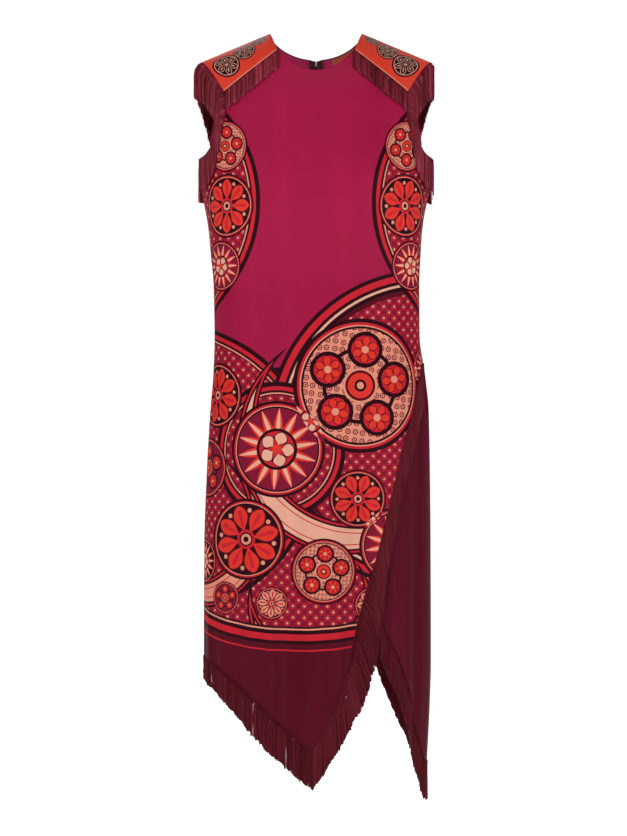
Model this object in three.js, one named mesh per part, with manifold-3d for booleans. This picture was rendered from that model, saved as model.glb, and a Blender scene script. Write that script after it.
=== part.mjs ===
// A fringed scarf dress, worn-shaped and hollow, held up at the shoulders.
// Millimetres, +Z up, the front faces -Y. The origin is midway between the two points where
// the shoulder seams meet the neckline, so "drop" below is the distance under the shoulder.
import * as THREE from "three";
import { mergeVertices } from "three/addons/utils/BufferGeometryUtils.js";
import Module from "manifold-3d";

const wasm = await Module();
wasm.setup();

const right = Math.PI / 2;

// ---------------------------------------------------------------- sizes
const clothThickness = 1.6;
const seamGap = 0.4; // between two panels that are sewn edge to edge
const layerGap = 0.9; // between a panel and what lies on it

const neckHalfWidth = 73;
const frontNeckDrop = 63;
const backNeckDrop = 33;
const neckRoundness = { across: 2, down: 1.35 }; // exponents of the neckline's curve
const shoulderSlope = 0.415; // fall for each mm outwards
const shoulderHalfWidth = 186;
const shoulderRoll = 120; // height over which the cloth turns over the shoulder
const chestHalfWidth = 188;
const underarmDrop = 205;
const bust = { out: 88, drop: 232, rise: 13, width: 42, height: 48 };
const sectionPower = 2.4; // 2 is an ellipse, more is squarer

// Half widths and depths of the dress at each level.
const levels = [
  { drop: 0, left: 188, right: 188, front: 84, back: 80 },
  { drop: 60, left: 188, right: 188, front: 85, back: 86 },
  { drop: 120, left: 188, right: 188, front: 91, back: 93 },
  { drop: 205, left: 187, right: 187, front: 98, back: 92 },
  { drop: 262, left: 180, right: 178, front: 97, back: 84 },
  { drop: 300, left: 173, right: 171, front: 92, back: 79 },
  { drop: 350, left: 168, right: 167, front: 85, back: 72 },
  { drop: 400, left: 163.5, right: 165, front: 79, back: 69 },
  { drop: 480, left: 162, right: 165.5, front: 82, back: 78 },
  { drop: 540, left: 164, right: 174, front: 88, back: 90 },
  { drop: 600, left: 169, right: 180, front: 94, back: 98 },
  { drop: 700, left: 175, right: 182, front: 96, back: 99 },
  { drop: 820, left: 179, right: 183, front: 95, back: 96 },
  { drop: 1000, left: 179.5, right: 183.5, front: 94, back: 94 },
  { drop: 1060, left: 179.5, right: 182, front: 94, back: 94 },
  { drop: 1160, left: 179, right: 177, front: 93, back: 93 },
  { drop: 1240, left: 178, right: 172, front: 92, back: 92 },
];

// Soft hanging folds, each a wave round the whole skirt.
const folds = [
  { waves: 9, phase: 0.35, share: 0.55 },
  { waves: 14, phase: 1.9, share: 0.45 },
];
const foldStart = 430;
const foldFull = 1000;
const foldDepth = 6;
const foldAtSides = 0.25; // share of the fold that is left at the side seams

// The front is one scarf whose corner hangs low at the centre. Its other edge crosses to the right hip.
const cornerX = -6;
const frontHem = [
  { x: -183, drop: 990 },
  { x: -159, drop: 1007 },
  { x: -99, drop: 1056 },
  { x: -26, drop: 1122 },
  { x: cornerX, drop: 1136 },
];
const wrapEdge = [
  { x: cornerX, drop: 1136 },
  { x: 12, drop: 1108 },
  { x: 45, drop: 1031 },
  { x: 57, drop: 994 },
  { x: 74, drop: 913 },
  { x: 95, drop: 843 },
  { x: 116, drop: 756 },
  { x: 133, drop: 668 },
  { x: 149, drop: 614 },
  { x: 158, drop: 579 },
  { x: 170, drop: 530 },
];
// The under layer and the back share a second, lower corner at the right side seam.
const underHem = [
  { x: -32, drop: 532 },
  { x: 40, drop: 735 },
  { x: 101, drop: 915 },
  { x: 126, drop: 976 },
  { x: 144, drop: 1022 },
  { x: 160, drop: 1082 },
  { x: 170, drop: 1130 },
  { x: 175, drop: 1161 },
];
const backHem = [
  { x: -183, drop: 990 },
  { x: -120, drop: 938 },
  { x: -60, drop: 905 },
  { x: 0, drop: 893 },
  { x: 60, drop: 912 },
  { x: 99, drop: 955 },
  { x: 131, drop: 1035 },
  { x: 158, drop: 1099 },
  { x: 168, drop: 1131 },
  { x: 175, drop: 1161 },
];
const wrapLift = 4; // how far the overlapping front stands off
const underTop = 514;
const underDepth = 8; // how far the under layer lies inside the front

// Armhole edges: half width at each level. The back is hollowed less than the front.
const frontArmhole = [
  { drop: 0, out: 182 },
  { drop: 46, out: 182 },
  { drop: 58, out: 168 },
  { drop: 77, out: 152 },
  { drop: 92, out: 145 },
  { drop: 125, out: 144.5 },
  { drop: 142, out: 147 },
  { drop: 168, out: 156 },
  { drop: 184, out: 163.5 },
  { drop: 198, out: 175 },
  { drop: 205, out: 187 },
];
const backArmhole = [
  { drop: 0, out: 182 },
  { drop: 46, out: 182 },
  { drop: 77, out: 172 },
  { drop: 102, out: 166 },
  { drop: 130, out: 160.5 },
  { drop: 150, out: 159.5 },
  { drop: 170, out: 162 },
  { drop: 190, out: 169.5 },
  { drop: 200, out: 178 },
  { drop: 205, out: 187 },
];

// Shoulder pieces: a scarf corner over each shoulder, given by its corners seen from the front or back.
const shoulderLift = 3.2;
const shoulderPiece = {
  front: { neckX: 61.5, neckDrop: 28.5, cornerX: 146, cornerDrop: 95 },
  back: { neckX: 66, neckDrop: 18, cornerX: 160, cornerDrop: 128 },
};

// Fringe: narrow strips with hanging locks.
const bandHeight = 5;
const bandThickness = 1.4;
const lockShare = 0.62; // share of the pitch that a lock takes
const hemFringeLength = 58;
const armFringeLength = 49;
const shoulderFringeLength = 34; // along the slanting edges of a shoulder piece
const standOff = { hem: 10, wrap: 20, arm: 7 }; // how far a lock stands straight off its edge before it falls

// Centre-back zip.
const zipGap = 1.5;
const zipEnd = 480;
const tapeWidth = 11.5;
const tapeThickness = 1;
const slider = { drop: 46, width: 5.6, height: 8.4, thickness: 2.2, gap: 0.6, earWidth: 0.8, earHeight: 2.8 };
const pull = { length: 24, width: 6, neck: 2.2, thickness: 1.1, clearance: 0.3 };

// ---------------------------------------------------------------- curves
// Smooth curve through a table's column, without overshoot.
function curve(table, from, to) {
  const a = table.map((row) => row[from]);
  const v = table.map((row) => row[to]);
  const rise = a.slice(1).map((_, i) => (v[i + 1] - v[i]) / (a[i + 1] - a[i]));
  const slope = a.map((_, i) => {
    if (i === 0) return rise[0];
    if (i === a.length - 1) return rise[i - 1];
    return rise[i - 1] * rise[i] <= 0 ? 0 : (2 * rise[i - 1] * rise[i]) / (rise[i - 1] + rise[i]);
  });
  return (at) => {
    if (at <= a[0]) return v[0];
    if (at >= a[a.length - 1]) return v[v.length - 1];
    const i = a.findIndex((_, n) => at <= a[n + 1]);
    const step = a[i + 1] - a[i];
    const t = (at - a[i]) / step;
    return (
      v[i] * (1 + 2 * t) * (1 - t) ** 2 +
      slope[i] * step * t * (1 - t) ** 2 +
      v[i + 1] * t * t * (3 - 2 * t) +
      slope[i + 1] * step * t * t * (t - 1)
    );
  };
}

const clamp = THREE.MathUtils.clamp;
const smooth = THREE.MathUtils.smoothstep;
const halfWidth = { left: curve(levels, "drop", "left"), right: curve(levels, "drop", "right") };
const depth = { front: curve(levels, "drop", "front"), back: curve(levels, "drop", "back") };
const armhole = { front: curve(frontArmhole, "drop", "out"), back: curve(backArmhole, "drop", "out") };
const leftHemAt = curve(frontHem, "x", "drop");
const wrapEdgeAt = curve(wrapEdge, "x", "drop");
const hem = {
  front: (x) => (x < cornerX ? leftHemAt(x) : wrapEdgeAt(x)),
  under: curve(underHem, "x", "drop"),
  back: curve(backHem, "x", "drop"),
};

const ridgeDrop = (x) => Math.max(0, Math.abs(x) - neckHalfWidth) * shoulderSlope;

function neckDropAt(x, face) {
  const full = face === "front" ? frontNeckDrop : backNeckDrop;
  const share = clamp(Math.abs(x) / neckHalfWidth, 0, 1);
  return full * (1 - share ** neckRoundness.across) ** (1 / neckRoundness.down);
}

const sideWidth = (x, drop) => (x < 0 ? halfWidth.left(drop) : halfWidth.right(drop));

// How far the dress stands out from its middle plane, at x across and drop down.
function standOut(x, drop, face) {
  const share = clamp(Math.abs(x) / sideWidth(x, drop), 0, 1);
  const section = Math.sqrt(1 - share ** sectionPower);
  const turned = clamp((drop - ridgeDrop(x)) / shoulderRoll, 0, 1);
  const roll = Math.sqrt(1 - (1 - turned) ** 2);
  let out = depth[face](drop) * section;
  if (face === "front") {
    const across = (Math.abs(x) - bust.out) / bust.width;
    const down = (drop - bust.drop) / bust.height;
    out += bust.rise * Math.exp(-(across ** 2 + down ** 2) / 2) * section;
  }
  return out * roll + (seamGap / 2 + 0.1) * (1 - turned);
}

// A point on the dress's form. turn is the angle from the middle of that face, to +-90 degrees at the sides.
function formPoint(turn, drop, face, lift = 0) {
  const side = Math.sin(turn);
  const x = side * (side < 0 ? halfWidth.left(drop) : halfWidth.right(drop));
  const sign = face === "front" ? -1 : 1;
  const y = sign * standOut(x, drop, face);
  const round = face === "front" ? turn : Math.PI - turn;
  const depthOfFold = foldDepth * smooth(drop, foldStart, foldFull);
  const sideShare = foldAtSides + (1 - foldAtSides) * Math.cos(turn) ** 2;
  const wave = folds.reduce((sum, f) => sum + f.share * Math.sin(f.waves * round + f.phase), 0);
  const out = lift + depthOfFold * sideShare * wave;
  const nx = Math.sin(turn) / sideWidth(x, drop);
  const ny = (sign * Math.cos(turn)) / depth[face](drop);
  const n = Math.hypot(nx, ny);
  return new THREE.Vector3(x + (out * nx) / n, y + (out * ny) / n, -drop);
}

// Share across a face, 0 at its middle and 1 at the side seam, to an angle. The sides curve round
// faster than the middle, so an even step of cloth is a smaller angle in the middle.
const evening = 0.155;
const turnAt = (share) => right * share - evening * Math.sin(Math.PI * share);

// The drop of a hem at an angle, where the hem is given by x.
function hemDrop(turn, hemOf) {
  let drop = hemOf(Math.sin(turn) * 180);
  for (let i = 0; i < 12; i += 1) {
    const side = Math.sin(turn);
    drop = hemOf(side * (side < 0 ? halfWidth.left(drop) : halfWidth.right(drop)));
  }
  return drop;
}

// ---------------------------------------------------------------- panels as surfaces
const skirtShare = 0.6; // share of a panel's rows below the underarm
const bodyRows = 15;
const yokeRows = 10;
const neckColumns = 5;
const shoulderColumns = 12;
const armTurn = (drop, face) => Math.asin(clamp(armhole[face](drop) / chestHalfWidth, 0, 1));
const neckShare = Math.asin(neckHalfWidth / chestHalfWidth) / armTurn(0, "front");

// Angle of a column at some level of the yoke: its outermost column is the armhole's edge.
function yokeTurn(share, drop, face) {
  const full = drop >= underarmDrop ? right : armTurn(drop, face);
  const blend = smooth(drop, 130, underarmDrop);
  const even = turnAt(share) / right;
  return full * (share + (even - share) * blend);
}

function yokeTop(share, face) {
  let drop = 20;
  for (let i = 0; i < 60; i += 1) {
    const x = chestHalfWidth * Math.sin(yokeTurn(share, drop, face));
    const next = Math.abs(share) < neckShare ? neckDropAt(x, face) : ridgeDrop(x);
    drop += (next - drop) / 3;
  }
  return drop;
}

// share runs from -1 at the left side to 1 at the right side, rise from 0 at the hem to 1 at the top.
function panelPoint(share, rise, face, hemOf, liftAt) {
  if (rise <= skirtShare) {
    const turn = turnAt(share);
    const bottom = hemDrop(turn, hemOf);
    const drop = bottom + ((underarmDrop - bottom) * rise) / skirtShare;
    return formPoint(turn, drop, face, liftAt(turn, drop));
  }
  const t = (rise - skirtShare) / (1 - skirtShare);
  const top = yokeTop(share, face);
  const up = Math.sin(right * t ** 1.25);
  const drop = underarmDrop + (top - underarmDrop) * up;
  return formPoint(yokeTurn(share, drop, face), drop, face);
}

// The overlapping front stands off the under layer towards its free edge.
function frontLift(turn, drop) {
  return wrapLift * smooth(drop, 545, 640) * smooth(turn, -0.35, 0.5);
}

function underLift(turn, drop) {
  const atSide = smooth(turn, right * 0.72, right) * smooth(drop, 560, 640);
  return -underDepth + underDepth * atSide;
}

const surfaces = {
  front: (share, rise) => panelPoint(share, rise, "front", hem.front, frontLift),
  back: (share, rise) => panelPoint(share, rise, "back", hem.back, () => 0),
};

// The under layer runs from its hidden point to the right side seam.
const underStart = Math.asin(underHem[0].x / 165) / right;
surfaces.under = (share, rise) => {
  const turn = turnAt(underStart + (1 - underStart) * share);
  const bottom = hemDrop(turn, hem.under);
  const drop = bottom + (underTop - bottom) * rise;
  return formPoint(turn, drop, "front", underLift(turn, drop));
};

// A shoulder piece: out runs from the neck to the outer edge, over from -1 at the front to 1 at the back.
function shoulderSurface(side) {
  return (out, over) => {
    const face = over < 0 ? "front" : "back";
    const piece = shoulderPiece[face];
    const edgeX = piece.neckX + (piece.cornerX - piece.neckX) * out;
    const edgeDrop = piece.neckDrop + (piece.cornerDrop - piece.neckDrop) * out;
    const ridgeStart = neckHalfWidth + 2;
    const ridgeX = ridgeStart + (shoulderHalfWidth - ridgeStart) * out;
    const up = Math.cos(right * Math.abs(over)); // 1 on the ridge
    const x = edgeX + ((ridgeX - edgeX) * (1 - Math.abs(over) + up)) / 2;
    const drop = ridgeDrop(x) + (edgeDrop - ridgeDrop(edgeX)) * (1 - up);
    const turn = Math.asin(clamp(x / chestHalfWidth, 0, 1));
    const p = formPoint(side * turn, drop, face);
    return p;
  };
}

// ---------------------------------------------------------------- solids
const middle = (p) => new THREE.Vector3(0, 0, Math.min(p.z, -underarmDrop * 0.75));

// Outward unit normal of a surface, from short steps along it.
function normalAt(surface, a, b, range) {
  const e = 1e-4;
  const lowA = Math.max(a - e, range.a[0]);
  const highA = Math.min(a + e, range.a[1]);
  const lowB = Math.max(b - e, range.b[0]);
  const highB = Math.min(b + e, range.b[1]);
  const n = surface(highA, b)
    .sub(surface(lowA, b))
    .cross(surface(a, highB).sub(surface(a, lowB)))
    .normalize();
  const p = surface(a, b);
  return n.dot(p.sub(middle(p))) < 0 ? n.negate() : n;
}

function geometryOf(points, faces) {
  const position = new Float32Array(points.flatMap((p) => [p.x, p.y, p.z]));
  const geometry = new THREE.BufferGeometry();
  geometry.setAttribute("position", new THREE.BufferAttribute(position, 3));
  let volume = 0;
  faces.forEach(([a, b, c]) => {
    volume += points[a].dot(points[b].clone().cross(points[c]));
  });
  const index = volume < 0 ? faces.map(([a, b, c]) => [a, c, b]) : faces;
  geometry.setIndex(index.flat());
  return geometry;
}

const quad = (a, b, c, d) => [
  [a, b, c],
  [a, c, d],
];

// A closed cloth wall over a surface, between a column list and a row list.
function wall(surface, columns, rows, options = {}) {
  const { lift = 0, thickness = clothThickness, trim = (p) => p } = options;
  const range = {
    a: [columns[0], columns[columns.length - 1]],
    b: [rows[0], rows[rows.length - 1]],
  };
  const points = [];
  const faces = [];
  [lift + thickness / 2, lift - thickness / 2].forEach((out) => {
    columns.forEach((a) => {
      rows.forEach((b) => {
        points.push(trim(surface(a, b).addScaledVector(normalAt(surface, a, b, range), out)));
      });
    });
  });
  const nr = rows.length;
  const nc = columns.length;
  const at = (layer, i, j) => layer * nc * nr + i * nr + j;
  for (let i = 0; i < nc - 1; i += 1) {
    for (let j = 0; j < nr - 1; j += 1) {
      faces.push(...quad(at(0, i, j), at(0, i + 1, j), at(0, i + 1, j + 1), at(0, i, j + 1)));
      faces.push(...quad(at(1, i, j), at(1, i, j + 1), at(1, i + 1, j + 1), at(1, i + 1, j)));
    }
  }
  const rim = [];
  for (let i = 0; i < nc - 1; i += 1) rim.push([i, 0, i + 1, 0]);
  for (let j = 0; j < nr - 1; j += 1) rim.push([nc - 1, j, nc - 1, j + 1]);
  for (let i = nc - 1; i > 0; i -= 1) rim.push([i, nr - 1, i - 1, nr - 1]);
  for (let j = nr - 1; j > 0; j -= 1) rim.push([0, j, 0, j - 1]);
  rim.forEach(([i, j, m, n]) => {
    faces.push(...quad(at(0, i, j), at(1, i, j), at(1, m, n), at(0, m, n)));
  });
  return geometryOf(points, faces);
}

// The same surface as flat facets between the columns and rows of its wall, for what lies on that wall.
function faceted(surface, columns, rows) {
  const grid = columns.map((a) => rows.map((b) => surface(a, b)));
  const cell = (list, at) => {
    const next = list.findIndex((v, n) => n > 0 && at < v);
    const i = next < 0 ? list.length - 2 : next - 1;
    return [i, (at - list[i]) / (list[i + 1] - list[i])];
  };
  return (a, b) => {
    const [i, s] = cell(columns, a);
    const [j, t] = cell(rows, b);
    const low = grid[i][j].clone().lerp(grid[i + 1][j], s);
    const high = grid[i][j + 1].clone().lerp(grid[i + 1][j + 1], s);
    return low.lerp(high, t);
  };
}

// Two coordinates on a surface, stepped so that the point moves by the wanted vector.
function stepOn(surface, a, b, wanted) {
  const e = 1e-4;
  const p = surface(a, b);
  const da = surface(a + e, b).sub(p).divideScalar(e);
  const db = surface(a, b + e).sub(p).divideScalar(e);
  const aa = da.dot(da);
  const ab = da.dot(db);
  const bb = db.dot(db);
  const det = aa * bb - ab * ab;
  const wa = wanted.dot(da);
  const wb = wanted.dot(db);
  return [a + (wa * bb - wb * ab) / det, b + (wb * aa - wa * ab) / det];
}

// A lock hangs plumb, and is pushed outwards only where the dress stands in its way.
function pushedOut(point, drop, lift) {
  const face = point.y < 0 ? "front" : "back";
  const beside = Math.abs(point.x) - lift * 0.8;
  if (beside >= sideWidth(point.x, drop)) return 0;
  const needed = standOut(Math.sign(point.x) * beside, drop, face) + lift - Math.abs(point.y);
  return Math.max(0, needed);
}

// A fringe: a narrow band along an edge of a surface, with locks that hang from it.
function fringe(surface, columns, rows, edge, options) {
  const { locks, length, inwards, base = 0, off = 0, steps = 1 } = options;
  const { clearance = null, fromFarSide = false } = options;
  const rooted = fromFarSide ? [3, 2] : [0, 1]; // corners of the band's section where the locks start
  const cells = 2 * locks + 1;
  const gapWidth = (1 - lockShare) / (locks + 1 - lockShare);
  const lockWidth = lockShare / (locks + 1 - lockShare);
  const stations = [0];
  for (let i = 0; i < cells; i += 1) stations.push(stations[i] + (i % 2 ? lockWidth : gapWidth));
  const total = stations[cells];
  const wide = { a: [-9, 9], b: [-9, 9] };
  const facets = faceted(surface, columns, rows);
  const inner = base + clothThickness / 2 + layerGap;
  const points = [];
  const faces = [];
  const outwards = [];
  stations.forEach((at) => {
    const s = at / total;
    const e = 1e-3;
    const [a, b] = edge(s);
    const p = facets(a, b);
    const before = surface(...edge(Math.max(0, s - e)));
    const after = surface(...edge(Math.min(1, s + e)));
    const along = after.sub(before).normalize();
    const n = normalAt(surface, a, b, wide);
    const across = n.clone().cross(along).normalize();
    if (across.dot(inwards(p)) < 0) across.negate();
    outwards.push(across.clone().negate());
    const [ua, ub] = stepOn(surface, a, b, across.multiplyScalar(bandHeight));
    const top = facets(ua, ub);
    const topNormal = normalAt(surface, ua, ub, wide);
    points.push(p.clone().addScaledVector(n, inner));
    points.push(p.clone().addScaledVector(n, inner + bandThickness));
    points.push(top.clone().addScaledVector(topNormal, inner + bandThickness));
    points.push(top.clone().addScaledVector(topNormal, inner));
  });
  const at = (station, corner) => station * 4 + corner;
  faces.push(...quad(at(0, 3), at(0, 2), at(0, 1), at(0, 0)));
  faces.push(...quad(at(cells, 0), at(cells, 1), at(cells, 2), at(cells, 3)));
  for (let i = 0; i < cells; i += 1) {
    const closed = i % 2 === 0 ? [[0, 1], [1, 2], [2, 3], [3, 0]] : [[1, 2], [3, 0]];
    if (i % 2) closed.push(fromFarSide ? [0, 1] : [2, 3]);
    for (const [c, d] of closed) {
      faces.push(...quad(at(i, c), at(i, d), at(i + 1, d), at(i + 1, c)));
    }
    if (i % 2 === 0) continue;
    // A lock goes down from the band's lower face, ring by ring.
    const [inside, outside] = rooted;
    let ring = [at(i, inside), at(i, outside), at(i + 1, outside), at(i + 1, inside)];
    if (fromFarSide) ring.reverse();
    const away = outwards[i].clone().add(outwards[i + 1]).setLength(off);
    let roots = ring.map((n) => points[n]);
    let push = 0;
    for (let k = off > 0 ? 0 : 1; k <= steps; k += 1) {
      const down = ((length - off) * k) / steps;
      if (k === 0) roots = roots.map((root) => root.clone().add(away));
      if (clearance !== null) {
        push = Math.max(push, ...roots.map((root) => pushedOut(root, down - root.z, clearance)));
      }
      const next = roots.map((root) => {
        points.push(new THREE.Vector3(root.x, root.y + Math.sign(root.y) * push, root.z - down));
        return points.length - 1;
      });
      ring.forEach((_, n) => {
        const m = (n + 1) % 4;
        faces.push(...quad(ring[n], ring[m], next[m], next[n]));
      });
      ring = next;
    }
    faces.push(...quad(...ring));
  }
  return geometryOf(points, faces);
}

// ---------------------------------------------------------------- materials
const cloth = (colour) => new THREE.MeshStandardMaterial({ color: colour, roughness: 0.55, metalness: 0 });
const materials = {
  magenta: cloth(0x9c1c44),
  plum: cloth(0x521226),
  orange: cloth(0xdd4632),
  fringe: cloth(0x5a1824),
  tape: cloth(0x2e0c1c),
  metal: new THREE.MeshStandardMaterial({ color: 0x38101f, roughness: 0.35, metalness: 0.8 }),
};

const dress = new THREE.Group();
function add(name, geometry, material) {
  const mesh = new THREE.Mesh(geometry, material);
  mesh.name = name;
  dress.add(mesh);
  return mesh;
}

// ---------------------------------------------------------------- cloth pieces
const span = (from, to, steps) => Array.from({ length: steps + 1 }, (_, i) => from + ((to - from) * i) / steps);

// Columns from the middle outwards, with one on the end of the shoulder seam.
function halfColumns(first, last) {
  return [
    ...span(0, neckShare, neckColumns).slice(first > 0 ? 1 : 0),
    ...span(neckShare, 1, shoulderColumns).slice(1),
  ].map((share, i) => (i === 0 && first > 0 ? share : share * last));
}

const panelRows = [...span(0, skirtShare, bodyRows), ...span(skirtShare, 1, yokeRows).slice(1)];

// A side seam's half gap, as a share of the quarter turn.
const seamShare = seamGap / 2 / 150;

const halfPanel = halfColumns(0, 1 - seamShare);
const cornerShare = Math.asin(cornerX / 180) / (right - evening * Math.PI);
const cornerColumn = halfPanel.reduce(
  (best, share, i) => (Math.abs(share + cornerShare) < Math.abs(halfPanel[best] + cornerShare) ? i : best),
  0,
);

const grids = {
  front: {
    columns: [
      ...halfPanel.slice(1).map((share, i) => (i + 1 === cornerColumn ? cornerShare : -share)).reverse(),
      ...halfPanel.slice(cornerColumn === 0 ? 1 : 0),
    ],
    rows: panelRows,
  },
  backLeft: { columns: halfPanel.map((share) => -share).reverse(), rows: panelRows },
  backRight: { columns: halfPanel, rows: panelRows },
  under: { columns: span(0, 1 - seamShare, 16), rows: span(0, 1, 13) },
  shoulder: { columns: span(0, 1, 7), rows: span(-1, 1, 12) },
};

// Each back half stops short of the centre line: wider beside the zip, close below it.
function backPanel(side) {
  const { columns, rows } = side < 0 ? grids.backLeft : grids.backRight;
  const trim = (p) => {
    const half = -p.z < zipEnd ? zipGap / 2 : seamGap / 2;
    if (p.x * side < half) p.x = side * half;
    return p;
  };
  return wall(surfaces.back, columns, rows, { trim });
}

function shoulderPiecePanel(side) {
  const { columns, rows } = grids.shoulder;
  return wall(shoulderSurface(side), columns, rows, { lift: shoulderLift });
}

add("front_panel", wall(surfaces.front, grids.front.columns, grids.front.rows), materials.magenta);
add("back_panel_left", backPanel(-1), materials.magenta);
add("back_panel_right", backPanel(1), materials.magenta);
add("under_panel", wall(surfaces.under, grids.under.columns, grids.under.rows), materials.plum);
add("shoulder_piece_left", shoulderPiecePanel(-1), materials.orange);
add("shoulder_piece_right", shoulderPiecePanel(1), materials.orange);

// ---------------------------------------------------------------- zip
// The tapes lie inside the back halves, from the neck edge down to the zip's end.
const tapeRows = [skirtShare - 0.24, ...panelRows.filter((rise) => rise > skirtShare - 0.24)];
[-1, 1].forEach((side) => {
  const { columns, rows } = side < 0 ? grids.backLeft : grids.backRight;
  const onBack = faceted(surfaces.back, columns, rows);
  const onTape = (across, rise) => {
    const x = 100 * across;
    let share = x / 172;
    for (let i = 0; i < 4; i += 1) share *= x / onBack(share, rise).x;
    return onBack(share, rise);
  };
  const tapeColumns = [zipGap / 2 + 0.3, tapeWidth / 2, tapeWidth].map((x) => (side * x) / 100);
  const tape = wall(onTape, side < 0 ? tapeColumns.reverse() : tapeColumns, tapeRows, {
    lift: -(clothThickness + tapeThickness) / 2 - layerGap / 2,
    thickness: tapeThickness,
  });
  add(side < 0 ? "zip_tape_left" : "zip_tape_right", tape, materials.tape);
});

// A slider with two ears, and a pull that hangs between them. Local +Y is out of the cloth, +Z up along it.
const place = new THREE.Group();
const seat = formPoint(0, slider.drop, "back");
const seatNormal = normalAt((turn, drop) => formPoint(turn, drop, "back"), 0, slider.drop, {
  a: [-1, 1],
  b: [0, 200],
});
place.position.copy(seat);
place.rotation.x = Math.atan2(seatNormal.z, seatNormal.y);
dress.add(place);

// A flat plate standing in local X and Z, from one distance to another out of the cloth.
function plate(outline, from, thickness) {
  const geometry = new THREE.ExtrudeGeometry(outline, { depth: thickness, bevelEnabled: false, curveSegments: 8 });
  geometry.rotateX(right);
  geometry.translate(0, from + thickness, 0);
  return geometry;
}

function block(width, thickness, height, x, from) {
  const geometry = new THREE.BoxGeometry(width, thickness, height);
  geometry.translate(x, from + thickness / 2, 0);
  return geometry;
}

function solid(geometry) {
  geometry.deleteAttribute("normal");
  geometry.deleteAttribute("uv");
  const merged = mergeVertices(geometry);
  const mesh = new wasm.Mesh({
    numProp: 3,
    vertProperties: merged.attributes.position.array,
    triVerts: new Uint32Array(merged.index.array),
  });
  return new wasm.Manifold(mesh);
}

function union(...geometries) {
  const mesh = geometries.map(solid).reduce((a, b) => a.add(b)).getMesh();
  const geometry = new THREE.BufferGeometry();
  geometry.setAttribute("position", new THREE.BufferAttribute(mesh.vertProperties, 3));
  geometry.setIndex(new THREE.BufferAttribute(mesh.triVerts, 1));
  return geometry;
}

const sliderBase = clothThickness / 2 + slider.gap;
const sliderTop = sliderBase + slider.thickness;
const pullAxis = sliderTop + pull.neck / 2 + pull.clearance;
const earX = pull.neck / 2 + pull.clearance + slider.earWidth / 2;

function sliderGeometry() {
  const w = slider.width / 2;
  const h = slider.height / 2;
  const outline = new THREE.Shape();
  outline.moveTo(-w * 0.7, -h);
  outline.lineTo(w * 0.7, -h);
  outline.lineTo(w, h * 0.3);
  outline.absarc(0, h - w, w, 0, Math.PI, false);
  outline.lineTo(-w, h * 0.3);
  const ears = [-earX, earX].map((x) =>
    block(slider.earWidth, slider.earHeight + 0.2, pull.neck + 1, x, sliderTop - 0.2),
  );
  return union(plate(outline, sliderBase, slider.thickness), ...ears);
}

function pullGeometry() {
  const outline = new THREE.Shape();
  const end = pull.width / 2;
  outline.absarc(0, 0, pull.neck / 2, 0, Math.PI, false);
  outline.lineTo(-pull.neck / 2, -4);
  outline.lineTo(-end, -pull.length + end * 2);
  outline.absarc(0, -pull.length + end, end, Math.PI, 2 * Math.PI, false);
  outline.lineTo(end, -pull.length + end * 2);
  outline.lineTo(pull.neck / 2, -4);
  const geometry = plate(outline, pullAxis - pull.thickness / 2, pull.thickness);
  return union(geometry);
}

for (const [name, geometry] of [["zip_slider", sliderGeometry()], ["zip_pull", pullGeometry()]]) {
  const mesh = new THREE.Mesh(geometry, materials.metal);
  mesh.name = name;
  place.add(mesh);
}

// ---------------------------------------------------------------- fringes
const upwards = () => new THREE.Vector3(0, 0, 1);
const between = (from, to) => (s) => from + (to - from) * s;

const hemFringes = {
  fringe_front_hem: { panel: "front", from: -0.985, to: -0.043, locks: 20 },
  fringe_wrap_edge: { panel: "front", from: -0.02, to: 0.93, locks: 34, clearance: 3.2, off: standOff.wrap },
  fringe_under_hem: { panel: "under", from: 0.03, to: 0.975, locks: 22 },
  fringe_back_hem_left: { panel: "backLeft", from: -0.985, to: -0.02, locks: 15 },
  fringe_back_hem_right: { panel: "backRight", from: 0.02, to: 0.98, locks: 20 },
};
const surfaceOf = { front: surfaces.front, under: surfaces.under, backLeft: surfaces.back, backRight: surfaces.back };
Object.entries(hemFringes).forEach(([name, f]) => {
  const across = between(f.from, f.to);
  const { columns, rows } = grids[f.panel];
  const geometry = fringe(surfaceOf[f.panel], columns, rows, (s) => [across(s), 0], {
    locks: f.locks,
    length: hemFringeLength,
    off: f.off ?? standOff.hem,
    clearance: f.clearance,
    inwards: upwards,
  });
  add(name, geometry, materials.fringe);
});

[-1, 1].forEach((side) => {
  const label = side < 0 ? "left" : "right";
  const shoulder = shoulderSurface(side);
  const { columns, rows } = grids.shoulder;
  for (const face of ["front", "back"]) {
    const over = face === "front" ? -1 : 1;
    const along = between(0.05, 0.93);
    const diagonal = fringe(shoulder, columns, rows, (s) => [along(s), over], {
      locks: 8,
      length: shoulderFringeLength,
      base: shoulderLift,
      off: standOff.arm,
      steps: 2,
      clearance: 5.5,
      inwards: upwards,
    });
    add(`fringe_shoulder_${face}_${label}`, diagonal, materials.fringe);

    const grid = face === "front" ? grids.front : side < 0 ? grids.backLeft : grids.backRight;
    const rise = between(skirtShare + 0.13, skirtShare + 0.012);
    const edge = (s) => [side * (1 - seamShare), rise(s)];
    const armholeFringe = fringe(surfaces[face], grid.columns, grid.rows, edge, {
      locks: 7,
      length: armFringeLength,
      base: 1.1,
      steps: 3,
      clearance: 5.5,
      fromFarSide: true,
      inwards: (p) => new THREE.Vector3(-p.x, 0, -60),
    });
    add(`fringe_armhole_${face}_${label}`, armholeFringe, materials.fringe);
  }
  const over = between(-0.86, 0.86);
  const cap = fringe(shoulder, columns, rows, (s) => [1, over(s)], {
    locks: 10,
    length: armFringeLength,
    base: shoulderLift,
    off: standOff.arm,
    inwards: (p) => new THREE.Vector3(-p.x, 0, 0),
  });
  add(`fringe_cap_${label}`, cap, materials.fringe);
});

export default dress;
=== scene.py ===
# A sleeveless scarf dress, filled out as if worn, with fringed shoulder pieces and a wrapped, pointed hem.
import math
import random

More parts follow.
